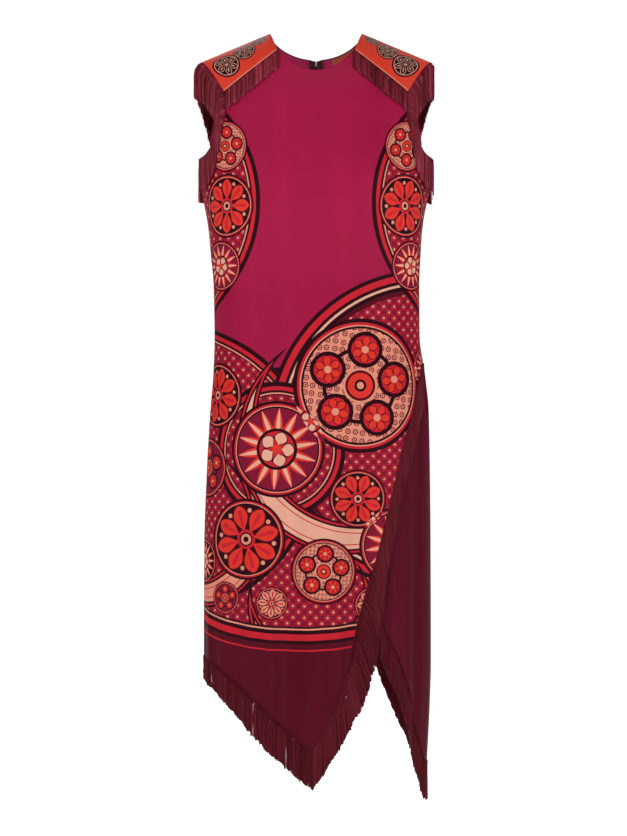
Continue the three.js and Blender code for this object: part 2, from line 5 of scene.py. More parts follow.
import bpy
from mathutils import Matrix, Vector, noise


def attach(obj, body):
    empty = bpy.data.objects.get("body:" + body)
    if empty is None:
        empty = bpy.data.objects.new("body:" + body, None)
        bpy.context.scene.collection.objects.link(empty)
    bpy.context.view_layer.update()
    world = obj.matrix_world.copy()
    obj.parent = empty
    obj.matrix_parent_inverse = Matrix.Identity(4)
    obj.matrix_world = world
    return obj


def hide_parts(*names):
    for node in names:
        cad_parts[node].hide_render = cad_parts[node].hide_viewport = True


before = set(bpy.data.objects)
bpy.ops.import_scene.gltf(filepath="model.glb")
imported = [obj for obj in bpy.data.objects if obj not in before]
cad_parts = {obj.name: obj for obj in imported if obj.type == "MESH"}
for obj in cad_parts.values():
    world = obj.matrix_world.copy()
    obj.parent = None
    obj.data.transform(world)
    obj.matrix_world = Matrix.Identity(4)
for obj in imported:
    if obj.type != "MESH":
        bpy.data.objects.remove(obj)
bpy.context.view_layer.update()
mm = 0.001
quarter = math.pi / 2
random.seed(7)

# The dress's own sizes, in millimetres. Drop is the distance below the shoulder line.
dressForm = {
    "neckHalfWidth": 73, "frontNeckDrop": 63, "backNeckDrop": 33,
    "neckAcross": 2, "neckDown": 1.35,
    "shoulderSlope": 0.415, "shoulderHalfWidth": 186, "shoulderRoll": 120,
    "chestHalfWidth": 188, "underarmDrop": 205,
    "bustOut": 88, "bustDrop": 232, "bustRise": 13, "bustWidth": 42, "bustHeight": 48,
    "sectionPower": 2.4, "cornerX": -6, "evening": 0.155,
    "foldDepth": 6, "foldStart": 430, "foldFull": 1000, "foldAtSides": 0.25,
    "rippleDepth": 2.1, "wrapLift": 4, "wrapLiftDrops": (545, 640), "wrapLiftTurns": (-0.35, 0.5),
    "underDepth": 8, "underTop": 514, "underHalfWidth": 165, "underSideDrops": (560, 640),
    "yokeBlend": 130, "yokeEase": 1.25, "ridgeOut": 0.15,
    "clothThickness": 0.7, "zipEnd": 480, "zipDip": 3.2, "zipDipWidth": 5.5,
}


def table(columns, *rows):
    # one dictionary a row, under the names given once
    return [dict(zip(columns.split(), row)) for row in rows]


levels = table(
    "drop left right front back",
    (0, 188, 188, 84, 80), (60, 188, 188, 85, 86), (120, 188, 188, 91, 93), (205, 187, 187, 98, 92),
    (262, 180, 178, 97, 84), (300, 173, 171, 92, 79), (350, 168, 167, 85, 72), (400, 163.5, 165, 79, 69),
    (480, 162, 165.5, 82, 78), (540, 164, 174, 88, 90), (600, 169, 180, 94, 98), (700, 175, 182, 96, 99),
    (820, 179, 183, 95, 96), (1000, 179.5, 183.5, 94, 94), (1060, 179.5, 182, 94, 94),
    (1160, 179, 177, 93, 93), (1240, 178, 172, 92, 92),
)
frontHem = table("x drop", (-183, 990), (-159, 1007), (-99, 1056), (-26, 1122), (-6, 1136))
wrapEdge = table(
    "x drop", (-6, 1136), (12, 1108), (45, 1031), (57, 994), (74, 913), (95, 843), (116, 756), (133, 668),
    (149, 614), (158, 579), (170, 530),
)
underHem = table(
    "x drop", (-32, 532), (40, 735), (101, 915), (126, 976), (144, 1022), (160, 1082), (170, 1130), (175, 1161),
)
backHem = table(
    "x drop", (-183, 990), (-120, 938), (-60, 905), (0, 893), (60, 912), (99, 955), (131, 1035), (158, 1099),
    (168, 1131), (175, 1161),
)
frontArmhole = table(
    "drop out", (0, 182), (46, 182), (58, 168), (77, 152), (92, 145), (125, 144.5), (142, 147), (168, 156),
    (184, 163.5), (198, 175), (205, 187),
)
backArmhole = table(
    "drop out", (0, 182), (46, 182), (77, 172), (102, 166), (130, 160.5), (150, 159.5), (170, 162),
    (190, 169.5), (200, 178), (205, 187),
)
shoulderPiece = {
    "front": {"neckX": 61.5, "neckDrop": 28.5, "cornerX": 146, "cornerDrop": 95},
    "back": {"neckX": 66, "neckDrop": 18, "cornerX": 160, "cornerDrop": 128},
    "lift": 3.2,
}

# Folds and ripples are waves round the body, counted in a full turn; a ripple slants down the cloth.
drape = {
    "folds": table("count shift share", (9, 0.35, 0.55), (14, 1.9, 0.45)),
    "ripples": table("count shift slant share", (23, 0.9, 310, 1), (31, 0, -240, 0.7)),
    "unevenDeep": 0.8, "unevenWide": 42, "unevenLong": 120, "unevenDrops": (60, 220),
    "calmAtSeam": (0, 0.22), "calmAtZip": (14, 36), "calmBelowZip": (4, 70),
}

# Creases, listed one by one: a soft trough (deep below 0) or ridge along a line, wide on each side of it.
creases = table(
    "face x drop lean long wide deep",
    ("front", -143, 232, 78, 30, 2.2, -1.6),
    ("front", 143, 232, -78, 30, 2.2, -1.6),
    ("front", -108, 214, 62, 34, 9, 1.6),
    ("front", 112, 218, -58, 30, 9, 1.4),
    ("front", -66, 330, -14, 90, 15, -1.8),
    ("front", 58, 352, 10, 105, 17, -1.6),
    ("front", -118, 412, 72, 46, 9, -1.7),
    ("front", 122, 396, -68, 40, 8, -1.5),
    ("front", -12, 540, 4, 150, 14, 1.8),
    ("front", 92, 622, 12, 130, 13, -2.2),
    ("front", -104, 700, -5, 160, 15, -1.9),
    ("front", 24, 850, 5, 190, 12, 2.4),
    ("front", -52, 930, -3, 150, 10, -2.2),
    ("back", -70, 120, 24, 60, 12, -1.5),
    ("back", 76, 128, -22, 54, 12, -1.4),
    ("back", -48, 396, 74, 42, 8, -2.0),
    ("back", 56, 414, -70, 46, 9, -1.8),
    ("back", -92, 372, 66, 34, 7, 1.4),
    ("back", 34, 690, 5, 170, 13, -2.2),
    ("back", -86, 760, -6, 150, 14, 2.1),
    ("back", 108, 840, 4, 160, 12, -2.0),
)


def curve(rows, given, wanted):
    # a smooth line through a table's column that never overshoots
    a = [row[given] for row in rows]
    v = [row[wanted] for row in rows]
    rise = [(v[i + 1] - v[i]) / (a[i + 1] - a[i]) for i in range(len(a) - 1)]
    slope = [rise[0]]
    for before, after in zip(rise, rise[1:]):
        slope.append(0 if before * after <= 0 else 2 * before * after / (before + after))
    slope.append(rise[-1])

    def at(x):
        if x <= a[0]:
            return v[0]
        if x >= a[-1]:
            return v[-1]
        i = next(n for n in range(len(a) - 1) if x <= a[n + 1])
        step = a[i + 1] - a[i]
        t = (x - a[i]) / step
        return (
            v[i] * (1 + 2 * t) * (1 - t) ** 2 + slope[i] * step * t * (1 - t) ** 2
            + v[i + 1] * t * t * (3 - 2 * t) + slope[i + 1] * step * t * t * (t - 1)
        )

    return at


def clamp(x, low=0.0, high=1.0):
    return max(low, min(high, x))


def smooth(x, low, high):
    t = clamp((x - low) / (high - low))
    return t * t * (3 - 2 * t)


leftWidth = curve(levels, "drop", "left")
rightWidth = curve(levels, "drop", "right")
depth = {"front": curve(levels, "drop", "front"), "back": curve(levels, "drop", "back")}
armhole = {"front": curve(frontArmhole, "drop", "out"), "back": curve(backArmhole, "drop", "out")}
leftHemAt = curve(frontHem, "x", "drop")
wrapEdgeAt = curve(wrapEdge, "x", "drop")
hems = {
    "front": lambda x: leftHemAt(x) if x < dressForm["cornerX"] else wrapEdgeAt(x),
    "under": curve(underHem, "x", "drop"),
    "back": curve(backHem, "x", "drop"),
}


def sideWidth(x, drop):
    return leftWidth(drop) if x < 0 else rightWidth(drop)


def ridgeDrop(x):
    return max(0, abs(x) - dressForm["neckHalfWidth"]) * dressForm["shoulderSlope"]


def neckDropAt(x, face):
    full = dressForm["frontNeckDrop"] if face == "front" else dressForm["backNeckDrop"]
    share = clamp(abs(x) / dressForm["neckHalfWidth"])
    dip = 0 if face == "front" else dressForm["zipDip"] * math.exp(-((x / dressForm["zipDipWidth"]) ** 2))
    return full * (1 - share ** dressForm["neckAcross"]) ** (1 / dressForm["neckDown"]) + dip


def standOut(x, drop, face):
    share = clamp(abs(x) / sideWidth(x, drop))
    section = math.sqrt(1 - share ** dressForm["sectionPower"])
    turned = clamp((drop - ridgeDrop(x)) / dressForm["shoulderRoll"])
    roll = math.sqrt(1 - (1 - turned) ** 2)
    out = depth[face](drop) * section
    if face == "front":
        across = (abs(x) - dressForm["bustOut"]) / dressForm["bustWidth"]
        down = (drop - dressForm["bustDrop"]) / dressForm["bustHeight"]
        out += dressForm["bustRise"] * math.exp(-(across ** 2 + down ** 2) / 2) * section
    return out * roll + dressForm["ridgeOut"] * (1 - turned)


def creased(x, drop, face):
    total = 0
    for c in creases:
        faded = 2.6 * c["long"] + 3 * c["wide"]
        if c["face"] != face or abs(drop - c["drop"]) > faded:
            continue
        lean = math.radians(c["lean"])
        dx, dd = x - c["x"], drop - c["drop"]
        along = dd * math.cos(lean) + dx * math.sin(lean)
        aside = dx * math.cos(lean) - dd * math.sin(lean)
        total += c["deep"] * math.exp(-((along / c["long"]) ** 2 + (aside / c["wide"]) ** 2) / 2)
    return total


def formPoint(turn, drop, face, lift=0.0):
    side = math.sin(turn)
    width = sideWidth(side, drop)
    x = side * width
    sign = -1 if face == "front" else 1
    y = sign * standOut(x, drop, face)
    around = turn if face == "front" else math.pi - turn
    atSides = dressForm["foldAtSides"] + (1 - dressForm["foldAtSides"]) * math.cos(turn) ** 2
    wave = sum(f["share"] * math.sin(f["count"] * around + f["shift"]) for f in drape["folds"])
    hang = smooth(drop, dressForm["foldStart"], dressForm["foldFull"])
    out = lift + dressForm["foldDepth"] * hang * atSides * wave
    ripple = sum(r["share"] * math.sin(r["count"] * around + r["shift"] + drop / r["slant"])
                 for r in drape["ripples"])
    fade = smooth(math.cos(turn), *drape["calmAtSeam"])
    if face == "back":
        # the zip and its tapes hold the cloth flat
        below = smooth(drop - dressForm["zipEnd"], *drape["calmBelowZip"])
        fade *= max(smooth(abs(x), *drape["calmAtZip"]), below)
    out += fade * dressForm["rippleDepth"] * hang ** 1.5 * atSides * ripple
    out += fade * creased(x, drop, face)
    spot = Vector((x / drape["unevenWide"], drop / drape["unevenLong"], sign * 3.1))
    out += fade * drape["unevenDeep"] * smooth(drop, *drape["unevenDrops"]) * noise.noise(spot)
    nx = math.sin(turn) / width
    ny = sign * math.cos(turn) / depth[face](drop)
    n = math.hypot(nx, ny)
    return Vector((x + out * nx / n, y + out * ny / n, -drop))


def turnAt(share):
    return quarter * share - dressForm["evening"] * math.sin(math.pi * share)


def hemDrop(turn, hemOf):
    # the hem's height depends on the width at that height, so it settles in a few rounds
    side = math.sin(turn)
    drop = hemOf(side * 180)
    for _ in range(12):
        drop = hemOf(side * sideWidth(side, drop))
    return drop


skirtShare = 0.6
armTurn = math.asin(frontArmhole[0]["out"] / dressForm["chestHalfWidth"])
neckShare = math.asin(dressForm["neckHalfWidth"] / dressForm["chestHalfWidth"]) / armTurn
underStart = math.asin(underHem[0]["x"] / dressForm["underHalfWidth"]) / quarter
known = {}


def yokeTurn(share, drop, face):
    inYoke = drop < dressForm["underarmDrop"]
    full = math.asin(clamp(armhole[face](drop) / dressForm["chestHalfWidth"])) if inYoke else quarter
    blend = smooth(drop, dressForm["yokeBlend"], dressForm["underarmDrop"])
    even = turnAt(share) / quarter
    return full * (share + (even - share) * blend)


def yokeTop(share, face):
    # where a line of the yoke meets the neck edge or the shoulder ridge
    key = ("top", share, face)
    if key not in known:
        drop = 20
        for _ in range(60):
            x = dressForm["chestHalfWidth"] * math.sin(yokeTurn(share, drop, face))
            drop += ((neckDropAt(x, face) if abs(share) < neckShare else ridgeDrop(x)) - drop) / 3
        known[key] = drop
    return known[key]


def bottomAt(share, face):
    key = ("hem", share, face)
    if key not in known:
        known[key] = hemDrop(turnAt(share), hems[face])
    return known[key]


def frontLift(turn, drop):
    lift = dressForm["wrapLift"] * smooth(drop, *dressForm["wrapLiftDrops"])
    return lift * smooth(turn, *dressForm["wrapLiftTurns"])


def panelPoint(share, rise, face):
    underarm = dressForm["underarmDrop"]
    if rise <= skirtShare:
        turn = turnAt(share)
        bottom = bottomAt(share, face)
        drop = bottom + (underarm - bottom) * rise / skirtShare
        return formPoint(turn, drop, face, frontLift(turn, drop) if face == "front" else 0)
    t = (rise - skirtShare) / (1 - skirtShare)
    drop = underarm + (yokeTop(share, face) - underarm) * math.sin(quarter * t ** dressForm["yokeEase"])
    return formPoint(yokeTurn(share, drop, face), drop, face)


def underPoint(share, rise):
    spot = underStart + (1 - underStart) * share
    turn = turnAt(spot)
    bottom = bottomAt(spot, "under")
    drop = bottom + (dressForm["underTop"] - bottom) * rise
    atSide = smooth(turn, quarter * 0.72, quarter) * smooth(drop, *dressForm["underSideDrops"])
    return formPoint(turn, drop, "front", -dressForm["underDepth"] * (1 - atSide))


def shoulderPoint(side, out, over, lift):
    face = "front" if over < 0 else "back"
    piece = shoulderPiece[face]
    edgeX = piece["neckX"] + (piece["cornerX"] - piece["neckX"]) * out
    edgeDrop = piece["neckDrop"] + (piece["cornerDrop"] - piece["neckDrop"]) * out
    ridgeStart = dressForm["neckHalfWidth"] + 2
    ridgeX = ridgeStart + (dressForm["shoulderHalfWidth"] - ridgeStart) * out
    up = math.cos(quarter * abs(over))
    x = edgeX + (ridgeX - edgeX) * (1 - abs(over) + up) / 2
    drop = ridgeDrop(x) + (edgeDrop - ridgeDrop(edgeX)) * (1 - up)
    turn = math.asin(clamp(x / dressForm["chestHalfWidth"]))
    p = formPoint(side * turn, drop, face)
    level = 1 - up
    outward = Vector((0.25 * side * x / dressForm["chestHalfWidth"], level if face == "back" else -level,
                      1 - level * 0.8))
    return p + outward.normalized() * lift


surfaces = {
    "front": lambda a, b: panelPoint(a, b, "front"),
    "back": lambda a, b: panelPoint(a, b, "back"),
    "under": underPoint,
    "shoulderLeft": lambda a, b: shoulderPoint(-1, a, b, shoulderPiece["lift"]),
    "shoulderRight": lambda a, b: shoulderPoint(1, a, b, shoulderPiece["lift"]),
}


def normalOf(surface, a, b):
    e = 1e-3
    across = surface(a + e, b) - surface(a - e, b)
    up = surface(a, b + e) - surface(a, b - e)
    n = across.cross(up).normalized()
    p = surface(a, b)
    core = Vector((0, 0, min(p.z, -150)))
    return -n if n.dot(p - core) < 0 else n


print("form ready")

# ---- materials
palette = {
    "magenta": "9E1540", "plum": "5A0B22", "deep": "2C0414", "red": "C4202F", "scarlet": "DA3428",
    "orange": "DE4A32", "salmon": "E08E76", "blush": "E4A68E", "wine": "7E1230", "rose": "C8707C",
    "fringe": "740F22", "fringeLight": "A84658", "tape": "35101F", "enamel": "3A1020", "coral": "FF8462",
    "pink": "FF4890",
}


def paint(name):
    def linear(c):
        return c / 12.92 if c <= 0.04045 else ((c + 0.055) / 1.055) ** 2.4
    code = palette[name]
    return [linear(int(code[i:i + 2], 16) / 255) for i in (0, 2, 4)] + [1]


class Nodes:
    # short ways to add and join the nodes of one tree
    def __init__(self, tree):
        self.tree = tree

    def join(self, value, socket):
        if isinstance(value, bpy.types.NodeSocket):
            self.tree.links.new(value, socket)
        else:
            socket.default_value = value

    def fill(self, sockets, values):
        for key, value in values.items():
            if value is not None:
                self.join(value, sockets[key])

    def add(self, kind, inputs=None, **settings):
        node = self.tree.nodes.new(kind)
        for key, value in settings.items():
            setattr(node, key, value)
        self.fill(node.inputs, inputs or {})
        return node.outputs

    def calc(self, operation, *values):
        return self.add("ShaderNodeMath", dict(enumerate(values)), operation=operation)[0]

    def plus(self, a, b):
        return self.calc("ADD", a, b)

    def minus(self, a, b):
        return self.calc("SUBTRACT", a, b)

    def times(self, a, b):
        return self.calc("MULTIPLY", a, b)

    def fit(self, a, scale, shift):
        return self.calc("MULTIPLY_ADD", a, scale, shift)

    def below(self, a, b):
        return self.calc("LESS_THAN", a, b)

    def above(self, a, b):
        return self.calc("GREATER_THAN", a, b)

    def between(self, a, low, high):
        return self.times(self.above(a, low), self.below(a, high))

    def held(self, a, high=1):
        return self.calc("MINIMUM", self.calc("MAXIMUM", a, 0), high)

    def vector(self, operation, a, b=None, scale=None):
        outputs = self.add("ShaderNodeVectorMath", {0: a, 1: b, "Scale": scale}, operation=operation)
        return outputs["Value" if operation in ("LENGTH", "DISTANCE", "DOT_PRODUCT") else "Vector"]

    def xy(self, vector):
        return self.add("ShaderNodeSeparateXYZ", {0: vector})[:2]

    def spin(self, vector, angle):
        return self.add("ShaderNodeVectorRotate", {"Vector": vector, "Angle": angle}, rotation_type="Z_AXIS")[0]

    def placed(self, flat, disc):
        # a disc's own coordinates, turned, with its middle at 0 and its rim at 1
        local = self.vector("SUBTRACT", flat, (*disc["at"], 0))
        return self.spin(self.vector("SCALE", local, scale=1 / disc["radius"]), math.radians(disc["turn"]))

    def sector(self, vector, count, shift):
        # how far round a point lies within its own one of count equal sectors, 0 to 1
        x, y = self.xy(vector)
        return self.calc("FRACT", self.fit(self.calc("ARCTAN2", y, x), count / (2 * math.pi), shift))

    def noise(self, vector, scale, detail=2, size="3D"):
        inputs = {"Vector": vector, "Scale": scale, "Detail": detail}
        return self.add("ShaderNodeTexNoise", inputs, noise_dimensions=size)[0]

    def bump(self, height, strength, distance):
        return self.add("ShaderNodeBump", {"Strength": strength, "Distance": distance, "Height": height})[0]

    def mix(self, factor, a, b):
        a, b = [paint(colour) if isinstance(colour, str) else colour for colour in (a, b)]
        return self.add("ShaderNodeMix", {0: factor, 6: a, 7: b}, data_type="RGBA")[2]

    def steps(self, factor, stops):
        # flat colours from one stop to the next
        node = self.tree.nodes.new("ShaderNodeValToRGB")
        ramp = node.color_ramp
        ramp.interpolation = "CONSTANT"
        for i, (at, colour) in enumerate(stops):
            stop = ramp.elements[i] if i < 2 else ramp.elements.new(at)
            stop.position = at
            stop.color = paint(colour)
        self.join(factor, node.inputs[0])
        return node.outputs[0]


def newMaterial(name):
    material = bpy.data.materials.new(name)
    material.use_nodes = True
    return material, Nodes(material.node_tree), material.node_tree.nodes["Principled BSDF"].inputs


def newGroup(name, inputs):
    # a node group with the inputs named, and one colour out
    group = bpy.data.node_groups.new(name, "ShaderNodeTree")
    for socket, kind in inputs.items():
        group.interface.new_socket(socket, in_out="INPUT", socket_type="NodeSocket" + kind)
    group.interface.new_socket("Colour", in_out="OUTPUT", socket_type="NodeSocketColor")
    n = Nodes(group)
    return group, n, n.add("NodeGroupInput")


# Petals fill equal sectors between two circles. Sizes of a motif are shares of its own radius.
petals = {row["of"]: row for row in table(
    "of count start end full",
    ("wheel", 8, 0.20, 0.84, 0.86), ("small", 6, 0.16, 0.74, 0.80), ("core", 5, 0.10, 0.36, 0.85),
    ("shoulder", 6, 0.14, 0.78, 0.66),
)}
petalShape = {"bulge": 0.75, "line": 0.16, "past": 0.08}
motifMake = {
    "rim": 0.85, "rimRings": [(0, "deep"), (0.88, "salmon"), (0.90, "red"), (0.94, "deep")],
    "vein": 0.2, "veinAlong": (0.3, 0.72), "beadAt": 0.72, "bead": 0.055,
    "hub": 0.24, "hubScale": 4.1, "hubRings": [(0, "deep"), (0.28, "salmon"), (0.55, "deep"), (0.7, "red")],
    "smalls": 5, "smallsFrom": 0.25, "smallAt": 0.54, "small": 0.27, "smallHub": 0.2, "smallRim": 0.78,
    "lace": 8.5, "laceUneven": 0.25, "laceRing": (0.22, 0.36), "laceDot": 0.10, "joinLine": 0.03,
    "ringHub": 0.26, "ringHubScale": 3.8,
    "ringHubRings": [(0, "salmon"), (0.2, "deep"), (0.34, "scarlet"), (0.72, "plum"), (0.86, "salmon")],
    "rays": 14, "rayLong": 0.42, "rayCore": 0.45, "core": 0.43, "coreRim": 0.37, "coreHub": 0.1,
}


def petalWheel(n, local, make):
    # how far aside of its sector's middle and how far out a point is, and masks of a petal and its outline
    aside = n.times(n.calc("ABSOLUTE", n.minus(n.sector(local, make["count"], 0.5), 0.5)), 2)
    away = n.vector("LENGTH", local)
    share = n.calc("DIVIDE", n.minus(away, make["start"]), make["end"] - make["start"])
    bulge = n.calc("POWER", n.calc("SINE", n.times(n.held(share), math.pi)), petalShape["bulge"])
    width = n.times(bulge, make["full"])
    petal = n.times(n.below(aside, width), n.between(share, 0, 1))
    outline = n.times(n.below(aside, n.plus(width, petalShape["line"])),
                      n.between(share, -petalShape["past"], 1 + petalShape["past"]))
    return aside, away, petal, outline


def motifGroup():
    # one round motif inside a circle of radius 1: kind 0 a petal wheel, 1 a ring of small wheels, 2 a sun
    group, n, given = newGroup("round motif", {"Local": "Vector", "Kind": "Float", "Warm": "Float"})
    local, warm = given["Local"], given["Warm"]
    away = n.vector("LENGTH", local)
    make = motifMake

    # petal wheel
    aside, _, petal, outline = petalWheel(n, local, petals["wheel"])
    wheel = n.mix(outline, n.mix(warm, "deep", "wine"), "plum")
    wheel = n.mix(petal, wheel, n.mix(warm, "scarlet", "salmon"))
    vein = n.times(petal, n.times(n.below(aside, make["vein"]), n.between(away, *make["veinAlong"])))
    wheel = n.mix(vein, wheel, "red")
    arc = n.times(n.minus(1, aside), n.times(away, math.pi / petals["wheel"]["count"]))
    square = n.plus(n.calc("POWER", arc, 2), n.calc("POWER", n.minus(away, make["beadAt"]), 2))
    wheel = n.mix(n.below(n.calc("POWER", square, 0.5), make["bead"]), wheel, "salmon")
    wheel = n.mix(n.below(away, make["hub"]), wheel, n.steps(n.times(away, make["hubScale"]), make["hubRings"]))

    # ring of small wheels on lace
    turned = n.times(n.minus(n.sector(local, make["smalls"], make["smallsFrom"]), 0.5), 2 * math.pi / make["smalls"])
    smallX = n.minus(n.times(away, n.calc("COSINE", turned)), make["smallAt"])
    smallY = n.times(away, n.calc("SINE", turned))
    small = n.add("ShaderNodeCombineXYZ", {0: smallX, 1: smallY})[0]
    _, smallAway, petal, outline = petalWheel(n, n.vector("SCALE", small, scale=1 / make["small"]), petals["small"])
    inside = n.mix(petal, n.mix(outline, "red", "deep"), "scarlet")
    inside = n.mix(n.below(smallAway, make["smallHub"]), inside, "salmon")
    inside = n.mix(n.above(smallAway, make["smallRim"]), inside, "deep")
    lace = n.add("ShaderNodeTexVoronoi", {"Scale": make["lace"], "Randomness": make["laceUneven"], "Vector": local},
                 voronoi_dimensions="2D")["Distance"]
    laced = n.mix(n.between(lace, *make["laceRing"]), "salmon", "wine")
    laced = n.mix(n.below(lace, make["laceDot"]), laced, "deep")
    ring = n.mix(warm, laced, "wine")
    joined = n.calc("ABSOLUTE", n.minus(away, make["smallAt"]))
    ring = n.mix(n.below(joined, make["joinLine"]), ring, "deep")
    ring = n.mix(n.below(smallAway, 1), ring, inside)
    rings = n.steps(n.times(away, make["ringHubScale"]), make["ringHubRings"])
    ring = n.mix(n.below(away, make["ringHub"]), ring, rings)

    # sun
    beam = n.times(n.calc("ABSOLUTE", n.minus(n.sector(local, make["rays"], 0), 0.5)), 2)
    reach = n.calc("DIVIDE", n.minus(make["rim"], away), make["rayLong"])
    ray = n.times(n.below(beam, reach), n.between(away, make["core"], make["rim"]))
    rayColour = n.mix(n.below(beam, n.times(reach, make["rayCore"])), "scarlet", "blush")
    sun = n.mix(ray, n.mix(warm, "wine", "deep"), rayColour)
    _, _, petal, outline = petalWheel(n, local, petals["core"])
    core = n.mix(petal, n.mix(outline, "red", "deep"), "blush")
    core = n.mix(n.below(away, make["coreHub"]), core, "scarlet")
    core = n.mix(n.above(away, make["coreRim"]), core, "deep")
    sun = n.mix(n.below(away, make["core"]), sun, core)

    colour = n.mix(n.above(given["Kind"], 0.5), wheel, ring)
    colour = n.mix(n.above(given["Kind"], 1.5), colour, sun)
    colour = n.mix(n.above(away, make["rim"]), colour, n.steps(away, make["rimRings"]))
    n.add("NodeGroupOutput", {0: colour})
    return group


# The print, in metres on the flat cloth: across from the centre line, and up from the shoulder line.
# Rings count from a disc's rim inwards, or from the border outwards, in tenths of a metre; a crescent's are finer.
rims = {
    "fine": {"rings": [(0, "deep"), (0.07, "red"), (0.13, "deep"), (0.165, "salmon"), (0.19, "deep")],
             "field": 0.021},
    "broad": {"rings": [(0, "deep"), (0.06, "red"), (0.16, "deep"), (0.21, "blush"), (0.25, "deep"),
                        (0.31, "plum"), (0.37, "deep")], "field": 0.038},
    "wide": {"rings": [(0, "deep"), (0.05, "plum"), (0.17, "red"), (0.21, "deep")], "field": 0.023},
}
ringScale = 10
discs = table(
    "at radius rim",
    ((0.02, -1.262), 0.735, "wide"),
    ((-0.222, -0.690), 0.222, "fine"),
    ((0.176, -0.628), 0.252, "broad"),
    ((-0.062, -0.662), 0.108, "fine"),
)
sideDisc = {"at": (0.290, 0.270), "radius": 0.202, "rim": "fine"}
crescents = table(
    "at radius biteAt bite fill",
    ((0.048, -0.650), 0.176, (0.066, -0.616), 0.160, "blush"),
    ((-0.196, -0.792), 0.120, (-0.212, -0.764), 0.104, "salmon"),
    ((0.188, -0.862), 0.104, (0.204, -0.838), 0.088, "scarlet"),
    ((-0.010, -0.905), 0.100, (-0.014, -0.880), 0.088, "blush"),
)
border = {
    "at": (-0.03, -0.40), "radius": 0.585, "wide": 0.046,
    "rings": [(0, "deep"), (0.03, "salmon"), (0.055, "deep"), (0.12, "red"), (0.22, "deep"), (0.27, "plum"),
              (0.36, "red"), (0.39, "plum")],
}
beads = {"tilt": math.pi / 4, "scale": 78, "ring": (0.27, 0.40), "dot": 0.16}
roundels = table(
    "at radius kind warm turn",
    ((-0.150, -0.182), 0.041, 1, 0, 10),
    ((0.150, -0.182), 0.041, 1, 0, 35),
    ((-0.149, -0.276), 0.050, 0, 0, 0),
    ((0.149, -0.276), 0.050, 0, 0, 20),
    ((-0.162, -0.370), 0.040, 2, 0, 12),
    ((0.162, -0.370), 0.040, 2, 0, 40),
    ((-0.214, -0.226), 0.022, 0, 1, 5),
    ((0.214, -0.226), 0.022, 0, 1, 28),
    ((-0.214, -0.324), 0.024, 0, 1, 15),
    ((0.214, -0.324), 0.024, 0, 1, 8),
    ((0.070, -0.560), 0.106, 1, 0, 8),
    ((0.200, -0.530), 0.034, 2, 0, 8),
    ((-0.062, -0.660), 0.076, 2, 0, 4),
    ((-0.172, -0.575), 0.052, 0, 0, 15),
    ((-0.196, -0.690), 0.048, 1, 1, 0),
    ((0.196, -0.660), 0.050, 0, 1, 15),
    ((0.066, -0.738), 0.046, 0, 0, 22),
    ((-0.112, -0.802), 0.064, 0, 0, 30),
    ((-0.205, -0.838), 0.036, 2, 1, 12),
    ((0.012, -0.852), 0.052, 1, 0, 5),
    ((0.128, -0.812), 0.060, 2, 0, 5),
    ((-0.070, -0.902), 0.026, 0, 1, 5),
    ((0.090, -0.905), 0.030, 0, 1, 0),
    ((-0.150, -0.895), 0.026, 1, 1, 0),
    ((0.205, -0.762), 0.028, 2, 1, 0),
)


def distanceTo(n, flat, at):
    return n.vector("DISTANCE", flat, (*at, 0))


def addDisc(n, colour, flat, disc, field):
    rim = rims[disc["rim"]]
    inside = n.minus(disc["radius"], distanceTo(n, flat, disc["at"]))
    ringed = n.mix(n.above(inside, rim["field"]), n.steps(n.times(inside, ringScale), rim["rings"]), field)
    return n.mix(n.above(inside, 0), colour, ringed)


def addCrescent(n, colour, flat, c):
    # a disc with a bite taken out
    inside = n.calc("MINIMUM", n.minus(c["radius"], distanceTo(n, flat, c["at"])),
                    n.minus(distanceTo(n, flat, c["biteAt"]), c["bite"]))
    shade = n.steps(n.times(inside, 2 * ringScale), [(0, "deep"), (0.06, "red"), (0.12, "deep"), (0.18, c["fill"]),
                                                     (0.30, "red"), (0.33, c["fill"])])
    return n.mix(n.above(inside, 0), colour, shade)


def printGroup(motif):
    group, n, given = newGroup("scarf print", {"Flat": "Vector"})
    flat = given["Flat"]

    # rows of beads in small rings fill the dark ground
    tilted = n.spin(flat, beads["tilt"])
    away = n.add("ShaderNodeTexVoronoi", {"Scale": beads["scale"], "Randomness": 0, "Vector": tilted},
                 voronoi_dimensions="2D")["Distance"]
    field = n.mix(n.between(away, *beads["ring"]), "wine", "red")
    field = n.mix(n.below(away, beads["dot"]), field, "salmon")

    # discs that overlap as scales do, below the plain ground
    colour = "magenta"
    for disc in discs:
        colour = addDisc(n, colour, flat, disc, field)
    for c in crescents:
        colour = addCrescent(n, colour, flat, c)

    # the border above the hem, and the plain plum below it
    past = n.minus(distanceTo(n, flat, border["at"]), border["radius"] - border["wide"])
    below = n.times(n.above(past, 0), n.below(n.xy(flat)[1], border["at"][1]))
    colour = n.mix(below, colour, n.steps(n.times(past, ringScale), border["rings"]))

    # arcs that come in from both side seams: both coordinates are made positive
    colour = addDisc(n, colour, n.vector("ABSOLUTE", flat), sideDisc, field)

    # roundels: each one puts its own local place into one shared vector
    local, kind, warm, hit = (0, 0, 0), 0, 0, 0
    for r in roundels:
        place = n.placed(flat, r)
        inside = n.below(n.vector("LENGTH", place), 1)
        local = n.vector("ADD", local, n.vector("SCALE", place, scale=inside))
        kind = n.fit(inside, r["kind"], kind)
        warm = n.fit(inside, r["warm"], warm)
        hit = n.calc("MAXIMUM", hit, inside)
    wheels = n.add("ShaderNodeGroup", {"Local": local, "Kind": kind, "Warm": warm}, node_tree=motif)
    n.add("NodeGroupOutput", {0: n.mix(hit, colour, wheels[0])})
    return group
